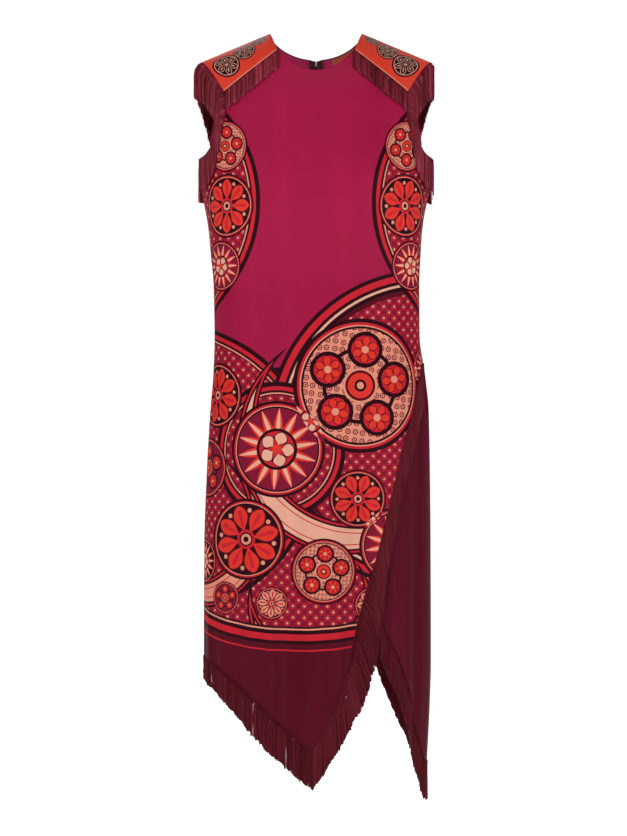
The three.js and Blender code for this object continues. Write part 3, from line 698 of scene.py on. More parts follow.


# The streaks paint the sheen of soft folds into the colour; the slow bands paint shade of folds on the plum.
silkMake = {
    "soft": 9, "softTone": 0.10, "softRough": 0.12, "sheenStreaks": (26, 1.6, 1), "sheenStreakTone": 0.22,
    "twill": 330, "twillTone": 0.06, "bands": (13, 0.9, 1), "foldShadeFrom": 0.42, "foldShade": 4.0, "foldShadeMost": 0.8,
    "foldShadeBelow": 0.16, "foldShadeTint": (0.80, 0.25, 0.42), "bump": 0.10, "bumpDeep": 0.0002,
    "dartWide": 0.0016, "dartShade": -0.35, "dartDeep": -9,
    "shader": {"Specular IOR Level": 0.07, "Anisotropic": 0.35, "Sheen Weight": 0.015, "Sheen Roughness": 0.4},
    "roughness": 0.40,
}


def segmentNear(n, flat, a, b):
    # distance on the flat cloth to a sewn line from a to b
    line = (b[0] - a[0], b[1] - a[1], 0)
    start = n.vector("SUBTRACT", flat, (*a, 0))
    share = n.calc("DIVIDE", n.vector("DOT_PRODUCT", start, line), line[0] ** 2 + line[1] ** 2)
    return n.vector("LENGTH", n.vector("SUBTRACT", start, n.vector("SCALE", line, scale=n.held(share))))


def silk(name, colour, mirror=False, darts=(), inside=None, paintedSheen=1.0):
    # colour is a palette name or a function that draws on the flat cloth; inside is how much of which colour
    # shows through on the wrong side
    material, n, surface = newMaterial(name)
    make = silkMake
    flat = n.add("ShaderNodeUVMap", uv_map="flat")[0]
    drawn = n.vector("MULTIPLY", flat, (-1, 1, 1)) if mirror else flat
    base = n.mix(0, colour, colour) if isinstance(colour, str) else colour(n, drawn)
    if inside:
        base = n.mix(inside[0], base, inside[1])

    def swing(value, much):
        # a tone that varies evenly about 1
        return n.fit(value, much, 1 - much / 2)

    # long soft streaks down the cloth, painted sheen of the satin's soft folds, and fine slanting lines of twill
    # across it
    soft = n.noise(flat, make["soft"], 3, "2D")
    sheenStreaks = n.noise(n.vector("MULTIPLY", flat, make["sheenStreaks"]), 1, 2, "2D")
    twill = n.add("ShaderNodeTexWave", {"Scale": make["twill"], "Distortion": 0.6, "Detail": 1, "Vector": flat},
                  wave_type="BANDS", bands_direction="DIAGONAL")["Fac"]
    tone = n.times(swing(soft, make["softTone"]), swing(sheenStreaks, make["sheenStreakTone"] * paintedSheen))
    tone = n.times(tone, swing(twill, make["twillTone"]))
    height = twill
    # each dart is a groove in the bump and darker in the colour: painted shade in the groove
    for a, b in darts:
        near = n.calc("DIVIDE", segmentNear(n, flat, a, b), make["dartWide"])
        groove = n.calc("MAXIMUM", n.minus(1, near), 0)
        tone = n.times(tone, n.fit(groove, make["dartShade"], 1))
        height = n.fit(groove, make["dartDeep"], height)

    # in slow bands the plum, and only the plum, turns darker and cooler: painted shade of its folds
    bands = n.noise(n.vector("MULTIPLY", flat, make["bands"]), 1, 1, "2D")
    foldShade = n.held(n.times(n.minus(bands, make["foldShadeFrom"]), make["foldShade"]), make["foldShadeMost"])
    foldShade = n.times(foldShade, n.below(n.xy(base)[0], make["foldShadeBelow"]))
    shown = n.mix(foldShade, base, n.vector("MULTIPLY", base, make["foldShadeTint"]))
    n.fill(surface, {
        "Base Color": n.vector("SCALE", shown, scale=tone),
        "Roughness": n.fit(soft, make["softRough"], make["roughness"]),
        "Normal": n.bump(height, make["bump"], make["bumpDeep"]),
        "Sheen Tint": paint("rose"), **make["shader"],
    })
    return material


# The shoulder piece laid flat: how far its front and back halves reach from the ridge at the neck, and
# how much further at the outer end.
shoulderPrint = {
    "long": 0.120, "front": {"narrow": 0.068, "flare": 0.019}, "back": {"narrow": 0.051, "flare": 0.054},
    "cloud": 24, "edgeLine": 0.0011, "endLine": 0.0016, "vein": 0.16, "veinAlong": (0.34, 0.6), "hub": 0.11,
    "rim": 0.80, "rimRings": [(0, "deep"), (0.82, "blush"), (0.87, "deep"), (0.97, "wine")],
    "wheels": table(
        "at radius turn",
        ((0.0215, -0.0270), 0.0135, 0), ((0.0520, -0.0388), 0.0192, 12), ((0.0905, -0.0502), 0.0230, 20),
        ((0.0215, 0.0233), 0.0135, 30), ((0.0520, 0.0378), 0.0192, 8), ((0.0905, 0.0563), 0.0230, 5),
    ),
}


def shoulderColour(n, flat):
    # orange with a pale line at the slanting edges, a dark one at the outer end, and dark wheels in blush lines
    make = shoulderPrint
    out, across = n.xy(flat)
    colour = n.mix(n.noise(flat, make["cloud"]), "scarlet", "orange")
    front, back = [n.fit(out, make[half]["flare"] / make["long"], make[half]["narrow"]) for half in ("front", "back")]
    edge = n.fit(n.minus(back, front), n.above(across, 0), front)
    colour = n.mix(n.below(n.minus(edge, n.calc("ABSOLUTE", across)), make["edgeLine"]), colour, "salmon")
    colour = n.mix(n.above(out, make["long"] - make["endLine"]), colour, "wine")
    for w in make["wheels"]:
        aside, away, petal, outline = petalWheel(n, n.placed(flat, w), petals["shoulder"])
        wheel = n.mix(n.times(outline, n.minus(1, petal)), "deep", "blush")
        vein = n.times(n.below(aside, make["vein"]), n.between(away, *make["veinAlong"]))
        wheel = n.mix(n.times(petal, vein), wheel, "blush")
        wheel = n.mix(n.below(away, make["hub"]), wheel, "salmon")
        wheel = n.mix(n.above(away, make["rim"]), wheel, n.steps(away, make["rimRings"]))
        colour = n.mix(n.below(away, 1), colour, wheel)
    return colour


yarnMake = {
    "clump": 0.3, "chance": 0.7, "light": 0.85, "tipHighlight": 5.5, "most": 0.62, "ply": 0.0034, "plyTone": 0.07,
    "clumpTone": (0.80, 0.56), "chanceTone": (0.5, 0.74), "bump": 0.6, "bumpDeep": 0.0003,
    "shader": {"Roughness": 0.5, "Specular IOR Level": 0.14},
}


def yarn(name):
    # UV "strand" holds metres along and turns round; UV "tone" holds each strand's own chance, and its clump's
    material, n, surface = newMaterial(name)
    make = yarnMake
    along, around = n.xy(n.add("ShaderNodeUVMap", uv_map="strand")[0])
    chance, clump = n.xy(n.add("ShaderNodeUVMap", uv_map="tone")[0])
    mixed = n.fit(clump, make["clump"], n.times(chance, make["chance"]))
    light = n.times(n.calc("POWER", mixed, 3), make["light"])
    # the strands grow lighter toward their tips: a painted highlight
    tipHighlight = n.times(n.times(along, make["tipHighlight"]), n.calc("POWER", chance, 2))
    colour = n.mix(n.calc("MINIMUM", n.plus(light, tipHighlight), make["most"]), "fringe", "fringeLight")
    ply = n.calc("SINE", n.plus(n.times(along, 2 * math.pi / make["ply"]), n.times(around, 2 * math.pi)))
    shade = n.times(n.fit(ply, make["plyTone"], 1 - make["plyTone"]), n.fit(clump, *make["clumpTone"]))
    shade = n.times(shade, n.fit(chance, *make["chanceTone"]))
    n.fill(surface, {
        "Base Color": n.vector("SCALE", colour, scale=shade),
        "Normal": n.bump(ply, make["bump"], make["bumpDeep"]), **make["shader"],
    })
    return material


tapeMake = {"ribs": 420, "lace": 340, "line": 0.10, "light": 0.45, "bump": 0.5, "bumpDeep": 0.0002, "roughness": 0.8}


def tapeCloth(name):
    # dark ribbed tape with a paler lace over it
    material, n, surface = newMaterial(name)
    place = n.add("ShaderNodeTexCoord")["Object"]
    ribs = n.add("ShaderNodeTexWave", {"Scale": tapeMake["ribs"], "Vector": place}, wave_type="BANDS",
                 bands_direction="Z")["Fac"]
    fleck = n.add("ShaderNodeTexVoronoi", {"Scale": tapeMake["lace"], "Vector": place},
                  feature="DISTANCE_TO_EDGE")["Distance"]
    lace = n.times(n.below(fleck, tapeMake["line"]), tapeMake["light"])
    n.fill(surface, {
        "Base Color": n.mix(lace, n.mix(ribs, "tape", "deep"), "rose"),
        "Normal": n.bump(ribs, tapeMake["bump"], tapeMake["bumpDeep"]), "Roughness": tapeMake["roughness"],
    })
    return material


enamelMake = {"wear": 260, "rough": (0.2, 0.22), "shader": {"Metallic": 0.35, "Coat Weight": 0.5}}


def enamel(name):
    material, n, surface = newMaterial(name)
    wear = n.noise(n.add("ShaderNodeTexCoord")["Object"], enamelMake["wear"])
    n.fill(surface, {
        "Base Color": n.mix(wear, "deep", "enamel"), "Roughness": n.fit(wear, *enamelMake["rough"]),
        **enamelMake["shader"],
    })
    return material


scarf = printGroup(motifGroup())


def scarfColour(n, flat):
    return n.add("ShaderNodeGroup", {0: flat}, node_tree=scarf)[0]


neckInside = {"at": (0.112, -0.02), "reach": 0.0865, "above": -0.07,
              "rings": [(0, "coral"), (0.845, "blush"), (0.865, "pink")]}


def coralShoulder(n, flat):
    # the wrong side of the back, coral beyond a pale line beside the neck; its coral and pink are brighter than the
    # cloth, painted light against the shade inside the neck
    far = distanceTo(n, flat, neckInside["at"])
    rings = n.steps(n.times(far, ringScale), neckInside["rings"])
    near = n.times(n.above(n.xy(flat)[1], neckInside["above"]), n.below(far, neckInside["reach"]))
    return n.mix(near, "pink", rings)


darts = [((-0.206, -0.243), (-0.132, -0.222)), ((0.206, -0.243), (0.132, -0.222))]
materials = {
    "front": silk("printed silk front", scarfColour, darts=darts),
    "frontInside": silk("printed silk front inside", scarfColour, inside=(0.22, "rose")),
    "back": silk("printed silk back", scarfColour, mirror=True),
    # the pink of the wrong side is painted brighter than the cloth, as light against the shade inside the back
    "backInsideLeft": silk("printed silk back inside left", "pink", inside=(0.1, "rose")),
    "backInsideRight": silk("printed silk back inside right", coralShoulder),
    # the plum's painted sheen streaks are stronger, the orange's weaker
    "plum": silk("plum silk", "plum", paintedSheen=1.5),
    "shoulder": silk("orange silk", shoulderColour, paintedSheen=0.5),
    "rolledMagenta": silk("rolled neck silk", "magenta"),
    "rolledDark": silk("rolled back neck silk", "deep"),
    "yarn": yarn("fringe yarn"),
    "tape": tapeCloth("zip tape"),
    "enamel": enamel("zip enamel"),
}
print("materials ready")


# ---- cloth
clothMake = {
    "front": (132, 240), "back": (66, 220), "under": (72, 130), "shoulder": (48, 64), "give": 1.02,
    "zipGap": 0.75, "seamGap": 0.05, "rowStep": 12, "rowPoints": 40, "rowTop": 150,
}


def finishCloth(piece, material, inner):
    # faces out, then a thin wall whose inner side shows the wrong side of the silk
    mesh = piece.data
    middle = mesh.polygons[len(mesh.polygons) // 2]
    if middle.normal.dot(middle.center - Vector((0, 0, middle.center.z))) < 0:
        mesh.flip_normals()
    mesh.materials.append(material)
    mesh.materials.append(inner or material)
    thick = piece.modifiers.new("thickness", "SOLIDIFY")
    thick.thickness = dressForm["clothThickness"] * mm
    thick.offset = 0
    thick.material_offset = 1
    bpy.context.view_layer.objects.active = piece
    bpy.ops.object.modifier_apply(modifier=thick.name)
    bpy.ops.object.shade_smooth()


def trianglesOf(mesh):
    return sum(len(face.vertices) - 2 for face in mesh.polygons)


def clothPiece(name, surface, grid, flatAt, material, spanA, spanB, trim=None, inner=None):
    # a grid laid over one surface of the dress, with its place on the flat cloth as a UV map
    bpy.ops.object.select_all(action="DESELECT")
    bpy.ops.mesh.primitive_grid_add(x_subdivisions=grid[0], y_subdivisions=grid[1], size=1)
    piece = bpy.context.object
    piece.name = name
    mesh = piece.data
    places = []
    for vertex in mesh.vertices:
        a = round(spanA[0] + (spanA[1] - spanA[0]) * (vertex.co.x + 0.5), 6)
        b = round(spanB[0] + (spanB[1] - spanB[0]) * (vertex.co.y + 0.5), 6)
        p = surface(a, b)
        places.append((a, b))
        vertex.co = (trim(p) if trim else p) * mm
    flatMap = mesh.uv_layers.new(name="flat")
    flats = [flatAt(a, b, mesh.vertices[i].co) for i, (a, b) in enumerate(places)]
    for loop in mesh.loops:
        flatMap.data[loop.index].uv = flats[loop.vertex_index]
    mesh.uv_layers.remove(mesh.uv_layers["UVMap"])
    area = sum(face.area for face in mesh.polygons)
    across = [f[0] for f in flats]
    up = [f[1] for f in flats]
    cut = (max(across) - min(across), max(up) - min(up))
    finishCloth(piece, material, inner)
    give = clothMake["give"]
    piece["cut"] = (cut[0] * give, cut[1] * give, min(area, cut[0] * cut[1]))
    print(name, "cut", [round(c, 3) for c in cut], "area", round(area, 4), "triangles", trianglesOf(piece.data))
    return piece


def girthMap(face):
    # flat cloth: across along the body from the centre line, and up in true height
    rows = {}

    def rowAt(drop, side):
        if (drop, side) not in rows:
            row, total, last = [], 0, None
            for i in range(clothMake["rowPoints"] + 1):
                x = math.sin(turnAt(i / clothMake["rowPoints"])) * sideWidth(side, drop)
                spot = (x, standOut(side * x, max(drop, clothMake["rowTop"]), face))
                if last:
                    total += math.hypot(spot[0] - last[0], spot[1] - last[1])
                last = spot
                row.append((x, total))
            rows[(drop, side)] = row
        return rows[(drop, side)]

    def along(row, x):
        for (x0, s0), (x1, s1) in zip(row, row[1:]):
            if x <= x1:
                return s0 + (s1 - s0) * (x - x0) / max(x1 - x0, 1e-6)
        return row[-1][1]

    def at(a, b, p):
        side = -1 if p.x < 0 else 1
        step = clothMake["rowStep"]
        lower = math.floor(-p.z / mm / step) * step
        share = (-p.z / mm - lower) / step
        x = abs(p.x) / mm
        across = along(rowAt(lower, side), x) * (1 - share) + along(rowAt(lower + step, side), x) * share
        return side * across * mm, p.z

    return at


def backPiece(side):
    def trim(p):
        half = clothMake["zipGap" if -p.z < dressForm["zipEnd"] else "seamGap"]
        if p.x * side < half:
            p.x = side * half
        return p
    label = "Left" if side < 0 else "Right"
    return clothPiece("backCloth" + label, surfaces["back"], clothMake["back"], girthMap("back"), materials["back"],
                      (min(side, 0), max(side, 0)), (0, 1), trim, materials["backInside" + label])


def shoulderCloth(key):

    def flatAt(a, b, p):
        half = shoulderPrint["front" if b < 0 else "back"]
        return a * shoulderPrint["long"], b * (half["narrow"] + half["flare"] * a)
    return clothPiece(key + "Cloth", surfaces[key], clothMake["shoulder"], flatAt, materials["shoulder"],
                      (0, 1), (-1, 1))


frontMap = girthMap("front")
cloths = {
    "front_panel": clothPiece("frontCloth", surfaces["front"], clothMake["front"], frontMap, materials["front"],
                              (-1, 1), (0, 1), inner=materials["frontInside"]),
    "back_panel_left": backPiece(-1),
    "back_panel_right": backPiece(1),
    "under_panel": clothPiece("underCloth", surfaces["under"], clothMake["under"], frontMap, materials["plum"],
                              (0, 1), (0, 1)),
    "shoulder_piece_left": shoulderCloth("shoulderLeft"),
    "shoulder_piece_right": shoulderCloth("shoulderRight"),
}
print("cloth ready")

# ---- fringe
# Millimetres and shares; an edge's own changes go with it. turn is how far past the edge a strand bends down and
# spread how much that varies. lean keeps it going off the edge and plumb starts it straight down. clump and gather
# are how strands bunch, and the sways and lifts how far they stray. plumb, shorter and settle, which lessens turn,
# are functions of the share of the way along the edge.
# bright is how light a fringe's strands and clumps are painted; the hems' lower value is painted shade.
fringeMake = {
    "pitch": 1.25, "thick": 0.68, "rows": 3, "apart": 0.6, "steps": 7, "inset": 3.0, "lift": 1.0, "underLift": -1.1,
    "header": 1.2, "headerIn": 0.4, "headerLift": 0.1, "hemLength": 61, "armLength": 59, "shoulderLength": 33,
    "turn": 12, "spread": 0.45, "turnRange": (-1, 0.6), "clump": (1, 4), "gather": 0.08, "uneven": 0.016,
    "clumpSway": (0.3, 0.5), "clumpLift": 0.5, "sway": (0.3, 0.35), "aside": 0.4, "curl": 0.22,
    "scale": (0.82, 1.12), "lean": 0.0, "bright": 1.0, "under": False, "clear": None, "plumb": None,
    "shorter": None, "settle": None,
}


def pushedOut(p, lift):
    # how far a strand must stand out to clear the cloth behind it
    face = "front" if p.y < 0 else "back"
    beside = abs(p.x) - lift * 0.8
    drop = -p.z
    if beside >= sideWidth(p.x, drop):
        return 0
    return max(0, standOut(math.copysign(beside, p.x), drop, face) + lift - abs(p.y))


def edgePlaces(surface, edge, pitch):
    # even places along an edge, each with its tangent, normal and share of the way
    fine = [surface(*edge(i / 400)) for i in range(401)]
    run = [0]
    for a, b in zip(fine, fine[1:]):
        run.append(run[-1] + (b - a).length)
    count = max(2, round(run[-1] / pitch))
    places = []
    k = 0
    for j in range(count):
        want = run[-1] * (j + 0.5) / count
        while run[k + 1] < want:
            k += 1
        share = (k + (want - run[k]) / (run[k + 1] - run[k])) / 400
        a, b = edge(share)
        before, after = surface(*edge(max(0, share - 0.004))), surface(*edge(min(1, share + 0.004)))
        places.append((share, surface(a, b), (after - before).normalized(), normalOf(surface, a, b)))
    return places


def strandPath(root, away, length, turn, gather, sway, lean, make):
    # lies over the edge, leaves it straight off the cloth, then falls and leans to its clump
    points = [root.copy()]
    steps = make["steps"]
    step = length / steps
    p = root.copy()
    pushed = 0
    wave = random.uniform(0, 6.3)
    for i in range(steps):
        fallen = smooth((i + 0.5) * step, make["inset"], make["inset"] + turn) * (1 - lean)
        p = p + (away * (1 - fallen) + Vector((0, 0, -1)) * fallen).normalized() * step
        t = (i + 1) / steps
        curl = Vector((math.sin(i * 1.3 + wave), math.cos(i * 1.1 + wave), 0)) * make["curl"] * t
        spot = p + gather * t ** 1.5 + sway * t * t + curl
        if make["clear"] is not None:
            pushed = max(pushed, pushedOut(spot, make["clear"]))
            spot = spot + Vector((0, math.copysign(pushed, spot.y), 0))
        points.append(spot)
    return points


def strayed(much):
    return Vector((random.gauss(0, much[0]), random.gauss(0, much[1]), 0))


def fringePaths(surface, edge, length, inward, **changes):
    # under roots the strands below the cloth, and clear keeps them off it
    make = {**fringeMake, **changes}
    under, plumb, shorter, settle = [make[key] for key in ("under", "plumb", "shorter", "settle")]
    inset, uneven, spread = [make[key] for key in ("inset", "uneven", "spread")]
    places = edgePlaces(surface, edge, make["pitch"])
    lift = make["underLift" if under else "lift"]
    strands = []
    header = []
    clumpEnd = 0
    for index, (share, p, along, normal) in enumerate(places):
        off = normal.cross(along).normalized()
        if off.dot(inward(p)) > 0:
            off = -off
        if plumb:
            off = off.lerp(Vector((0, 0, -1)), plumb(share)).normalized()
        header.append(p - off * (inset - make["headerIn"]) + normal * (lift + make["headerLift"]))
        if index >= clumpEnd:
            size = random.randint(*make["clump"])
            middle = places[min(index + size // 2, len(places) - 1)][1]
            clumpEnd = index + size
            clumpTone = random.random() * make["bright"]
            clumpSway = strayed(make["clumpSway"])
            clumpLift = random.uniform(-make["clumpLift"], make["clumpLift"])
            clumpCut = random.gauss(0, uneven)
        gather = (middle - p) * make["gather"]
        gather.z = 0
        for row in range(make["rows"]):
            cut = length * (1 + clumpCut + random.gauss(0, uneven)) * (shorter(share) if shorter else 1)
            aside = random.uniform(-make["aside"], make["aside"])
            root = p + normal * (lift - row * make["apart"]) + along * aside - off * inset
            turn = make["turn"] * (1 + spread * random.uniform(*make["turnRange"])) * (settle(share) if settle else 1)
            sway = clumpSway + strayed(make["sway"]) + normal * clumpLift
            lean = make["lean"] * (1 - (plumb(share) if plumb else 0))
            path = strandPath(root, off, cut, turn, gather, sway, lean, make)
            scale = random.uniform(*make["scale"])
            tone = (random.random() * (0.4 + 0.6 * make["bright"]), clumpTone)
            strands.append({"path": path, "scale": scale, "tone": tone})
    if not under:
        strands.append({"path": header, "scale": make["header"], "tone": (0.2, 0.4)})
    return strands


def tubes(name, strands, thick, material, uvName="strand"):
    # every strand is one open spline with a four-sided section, made a mesh at the end
    data = bpy.data.curves.new(name, "CURVE")
    data.dimensions = "3D"
    data.bevel_depth = thick * mm
    data.bevel_resolution = 0
    data.use_fill_caps = False
    for strand in strands:
        path = strand["path"]
        spline = data.splines.new("POLY")
        spline.points.add(len(path) - 1)
        for point, p in zip(spline.points, path):
            point.co = (p.x * mm, p.y * mm, p.z * mm, 1)
            point.radius = strand["scale"]
        spline.use_smooth = True
    obj = bpy.data.objects.new(name, data)
    bpy.context.collection.objects.link(obj)
    bpy.ops.object.select_all(action="DESELECT")
    obj.select_set(True)
    bpy.context.view_layer.objects.active = obj
    bpy.ops.object.convert(target="MESH")
    obj = bpy.context.object
    mesh = obj.data
    ring = len(mesh.vertices) // sum(len(s["path"]) for s in strands)
    runs, tones = [], []
    for strand in strands:
        run, last = 0, strand["path"][0]
        for p in strand["path"]:
            run += (p - last).length * mm
            last = p
            runs += [(run, i / ring) for i in range(ring)]
            tones += [strand["tone"]] * ring
    bpy.ops.object.mode_set(mode="EDIT")
    bpy.ops.mesh.select_all(action="SELECT")
    bpy.ops.mesh.fill_holes(sides=ring)
    bpy.ops.object.mode_set(mode="OBJECT")
    while mesh.uv_layers:
        mesh.uv_layers.remove(mesh.uv_layers[0])
    strandMap = mesh.uv_layers.new(name=uvName)
    toneMap = mesh.uv_layers.new(name="tone")
    for loop in mesh.loops:
        strandMap.data[loop.index].uv = runs[loop.vertex_index]
        toneMap.data[loop.index].uv = tones[loop.vertex_index]
    mesh.materials.clear()
    mesh.materials.append(material)
    bpy.ops.object.shade_smooth()
    print(name, "strands", len(strands), "triangles", trianglesOf(mesh))
    return obj


def straight(start, end):
    return lambda s: start + (end - start) * s


def upward(p):
    return Vector((0, 0, 1))


def downLeftHem(share):
    # shorter at the side seam, as the slanting left hem has it
    return 0.58 + 0.40 * smooth(share, 0, 0.75)


def upWrapEdge(share):
    # straight down at the corner, off the edge in the middle, and down again at the side
    return 1 - 0.72 * smooth(share, 0, 0.36) + 0.64 * smooth(share, 0.36, 0.66)


hemFringes = {
    "fringe_front_hem": {
        "on": "front_panel", "surface": "front", "from": -0.995, "to": -0.0315,
        "changes": {"turn": 7, "shorter": downLeftHem, "plumb": lambda s: smooth(s, 0.86, 1)}},
    "fringe_wrap_edge": {
        "on": "front_panel", "surface": "front", "from": -0.0325, "to": 0.945, "long": 1.06,
        "changes": {"clear": 2.2, "turn": 15, "pitch": 1.0, "inset": 6, "lean": 0.50, "plumb": upWrapEdge}},
    "fringe_under_hem": {
        "on": "under_panel", "surface": "under", "from": 0.02, "to": 0.999,
        "changes": {"turn": 7, "plumb": lambda s: 0.5}},
    "fringe_back_hem_left": {
        "on": "back_panel_left", "surface": "back", "from": -0.995, "to": -0.0015,
        "changes": {"turn": 7, "shorter": downLeftHem}},
    "fringe_back_hem_right": {
        "on": "back_panel_right", "surface": "back", "from": 0.0015, "to": 0.999,
        "changes": {"plumb": lambda s: 0.7}},
}
sideFringes = {
    "shoulder": {"clear": 2.6, "turn": 9, "under": True, "uneven": 0.04},
    "armhole": {"clear": 2.6, "settle": lambda s: 1 - 0.85 * smooth(s, 0.55, 0.95)},
    "cap": {"spread": 0.3, "under": True},
}
armholeTop = {"front": 0.885, "back": 0.80}
armholeTurn = {"front": 26, "back": 8}
capTurn = {"left": 23, "right": 6}
fringes = {}
trims = {node: [] for node in cloths}


def addFringe(node, panel, *edge, **changes):
    paths = fringePaths(*edge, **changes)
    fringes[node] = tubes("strands_" + node, paths, fringeMake["thick"], materials["yarn"])
    trims[panel].append(fringes[node])


# the hem fringes are painted darker than the shoulder fringes: painted shade
for node, f in hemFringes.items():
    across = straight(f["from"], f["to"])
    addFringe(node, f["on"], surfaces[f["surface"]], lambda s: (across(s), 0.0),
              fringeMake["hemLength"] * f.get("long", 1), upward, bright=0.45, **f["changes"])

for side, label in ((-1, "left"), (1, "right")):
    shoulder, piece = surfaces["shoulder" + label.title()], "shoulder_piece_" + label
    out = straight(0.0, 0.985)
    for face, over in (("front", -1.0), ("back", 1.0)):
        addFringe(f"fringe_shoulder_{face}_{label}", piece, shoulder, lambda s: (out(s), over),
                  fringeMake["shoulderLength"], upward, **sideFringes["shoulder"])
        # down the whole armhole edge, from under the shoulder piece to the side seam
        rise = straight(armholeTop[face], skirtShare + 0.003)
        panel = "front_panel" if face == "front" else "back_panel_" + label
        addFringe(f"fringe_armhole_{face}_{label}", panel, surfaces[face], lambda s: (side, rise(s)),
                  fringeMake["armLength"], lambda p: Vector((-p.x, 0, -50)), turn=armholeTurn[face],
                  **sideFringes["armhole"])
    overs = straight(-0.99, 0.99)
    addFringe(f"fringe_cap_{label}", piece, shoulder, lambda s: (0.999, overs(s)), fringeMake["armLength"],
              lambda p: Vector((-p.x, 0, 0)), turn=capTurn[label], **sideFringes["cap"])
print("fringes ready")

# ---- neck edge and zip
neckMake = {"thick": 0.95, "steps": 90, "up": 0.15, "end": neckShare * 1.01, "zipEnd": 0.012}


def neckEdge(name, face, start, end, material):
    path = []
    for i in range(neckMake["steps"] + 1):
        p = surfaces[face](start + (end - start) * i / neckMake["steps"], 1.0)
        path.append(p + Vector((0, 0, neckMake["up"])))
    return tubes(name, [{"path": path, "scale": 1, "tone": (0.5, 0.5)}], neckMake["thick"], material, "flat")


end, zipSide = neckMake["end"], neckMake["zipEnd"]
necks = {
    "front_panel": neckEdge("rolledNeckFront", "front", -end, end, materials["rolledMagenta"]),
    "back_panel_left": neckEdge("rolledNeckBackLeft", "back", -end, -zipSide, materials["rolledDark"]),
    "back_panel_right": neckEdge("rolledNeckBackRight", "back", zipSide, end, materials["rolledDark"]),
}

zipMake = {"top": 34.5, "pitch": 1.55, "tooth": (2.5, 1.3, 0.82), "bevel": 0.22, "in": 1.75, "apart": 0.62}


def zipTeeth():
    # one tooth, copied down both sides of the zip in turn
    bpy.ops.object.select_all(action="DESELECT")
    bpy.ops.mesh.primitive_cube_add(size=1)
    tooth = bpy.context.object
    bpy.ops.object.mode_set(mode="EDIT")
    bpy.ops.mesh.select_all(action="SELECT")
    bpy.ops.transform.resize(value=[v * mm for v in zipMake["tooth"]])
    bpy.ops.mesh.bevel(offset=zipMake["bevel"] * mm, segments=1)
    bpy.ops.object.mode_set(mode="OBJECT")
    count = int((dressForm["zipEnd"] - zipMake["top"]) / zipMake["pitch"])
    copies = []
    for i in range(count):
        drop = zipMake["top"] + zipMake["pitch"] * i
        here, below = formPoint(0, drop, "back"), formPoint(0, drop + 1, "back")
        down = (below - here).normalized()
        inward = Vector((1, 0, 0)).cross(down).normalized()
        if inward.y > 0:
            inward = -inward
        side = 1 if i % 2 else -1
        at = here + inward * zipMake["in"] + Vector((side * zipMake["apart"], 0, 0))
        copy = tooth.copy()
        copy.data = tooth.data.copy()
        bpy.context.collection.objects.link(copy)
        lean = math.atan2(down.y, -down.z)
        for vertex in copy.data.vertices:
            x, y, z = vertex.co
            vertex.co = (x, y * math.cos(lean) - z * math.sin(-lean), y * math.sin(-lean) + z * math.cos(lean))
            vertex.co += at * mm
        copies.append(copy)
    bpy.ops.object.select_all(action="DESELECT")
    bpy.data.objects.remove(tooth)
    for copy in copies:
        copy.select_set(True)
    bpy.context.view_layer.objects.active = copies[0]
    bpy.ops.object.join()
    row = bpy.context.object
    row.name = "zipTeeth"
    row.data.materials.append(materials["enamel"])
    bpy.ops.object.shade_smooth_by_angle(angle=math.radians(40))
    print("zipTeeth", count, "triangles", trianglesOf(row.data))
    return row


teeth = zipTeeth()
print("neck and zip ready")

# ---- what each piece stands for
for node, piece in {**cloths, **fringes}.items():
    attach(piece, "dress")
    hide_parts(node)
for node, piece in necks.items():
    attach(piece, "dress")
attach(teeth, "dress")
for node, piece in cloths.items():
    width, length, area = piece["cut"]
    shoulder = node.startswith("shoulder")
for node, material in {"zip_tape_left": "tape", "zip_tape_right": "tape", "zip_slider": "enamel",
                       "zip_pull": "enamel"}.items():
    for slot in bpy.data.objects[node].material_slots:
        slot.material = materials[material]


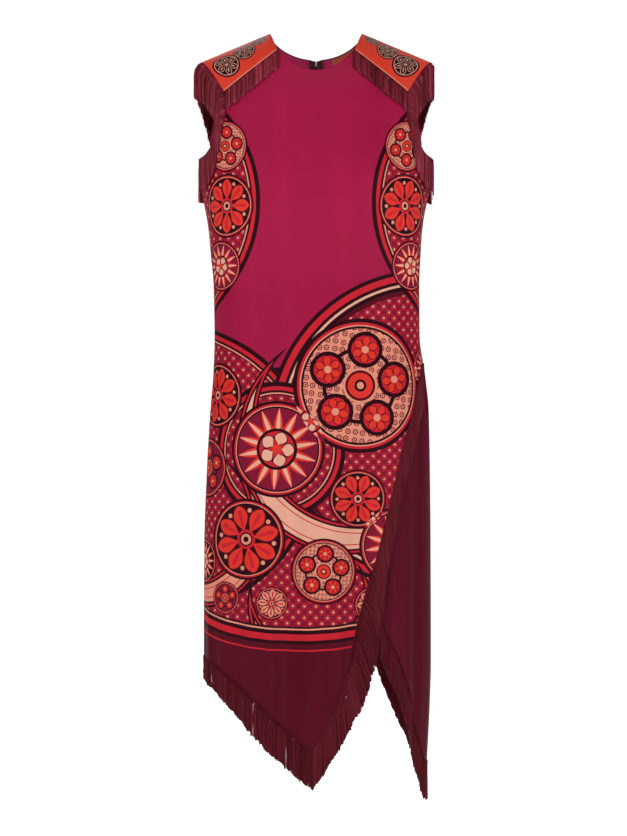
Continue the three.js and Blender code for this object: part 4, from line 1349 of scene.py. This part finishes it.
# ---- studio
studio = {
    "cameraAt": (-0.004, -5.0, -0.611), "seen": 1.3376, "floor": -1.45, "floorRadius": 16,
    "floorShader": {"Base Color": (0.92, 0.92, 0.92, 1), "Roughness": 0.9, "Specular IOR Level": 0.1,
                    "Emission Color": (1, 1, 1, 1)},
    "glow": {"From Min": 0.8, "From Max": 4.5, "To Min": 0.55, "To Max": 1.0}, "dim": 0.14, "shown": 1.05,
    "aim": (0, 0, -0.6),
    "lamps": table(
        "name at size power",
        ("key", (-2.3, -3.8, 1.0), 2.4, 41),
        ("fill", (2.6, -3.6, 0.0), 2.4, 32),
        ("top", (0.0, -2.2, 2.5), 1.2, 27),
        ("backKey", (-1.9, 3.2, 2.7), 2.0, 48),
        ("backFill", (2.2, 2.9, 2.6), 2.0, 30),
    ),
}


def makeStudio():
    bpy.ops.object.select_all(action="DESELECT")
    bpy.ops.object.camera_add(location=studio["cameraAt"], rotation=(quarter, 0, 0))
    camera = bpy.context.object
    camera.data.lens = camera.data.sensor_width * abs(studio["cameraAt"][1]) / studio["seen"]
    bpy.context.scene.camera = camera

    # a wide white floor that glows softly, as a lit sweep does
    bpy.ops.object.select_all(action="DESELECT")
    bpy.ops.mesh.primitive_circle_add(vertices=96, radius=studio["floorRadius"], fill_type="NGON")
    floor = bpy.context.object
    floor.name = "backdrop"
    for vertex in floor.data.vertices:
        vertex.co.z = studio["floor"]
    paper, n, surface = newMaterial("backdrop paper")
    away = n.vector("LENGTH", n.add("ShaderNodeTexCoord")["Object"])
    far = n.add("ShaderNodeMapRange", {"Value": away, **studio["glow"]}, interpolation_type="SMOOTHSTEP")[0]
    n.fill(surface, {**studio["floorShader"], "Emission Strength": far})
    floor.data.materials.append(paper)

    for lamp in studio["lamps"]:
        bpy.ops.object.light_add(type="AREA", location=lamp["at"])
        light = bpy.context.object
        light.name = lamp["name"]
        light.data.size = lamp["size"]
        light.data.energy = lamp["power"]
        toDress = Vector(studio["aim"]) - Vector(lamp["at"])
        light.rotation_euler = toDress.to_track_quat("-Z", "Y").to_euler()

    # a white surround that lights the room only dimly
    world = bpy.context.scene.world or bpy.data.worlds.new("studio")
    bpy.context.scene.world = world
    world.use_nodes = True
    n = Nodes(world.node_tree)
    seen = n.add("ShaderNodeLightPath")["Is Camera Ray"]
    strength = n.fit(seen, studio["shown"] - studio["dim"], studio["dim"])
    n.fill(world.node_tree.nodes["Background"].inputs, {"Color": (1, 1, 1, 1), "Strength": strength})
    bpy.context.scene.view_settings.view_transform = "Standard"


makeStudio()
print("studio ready")
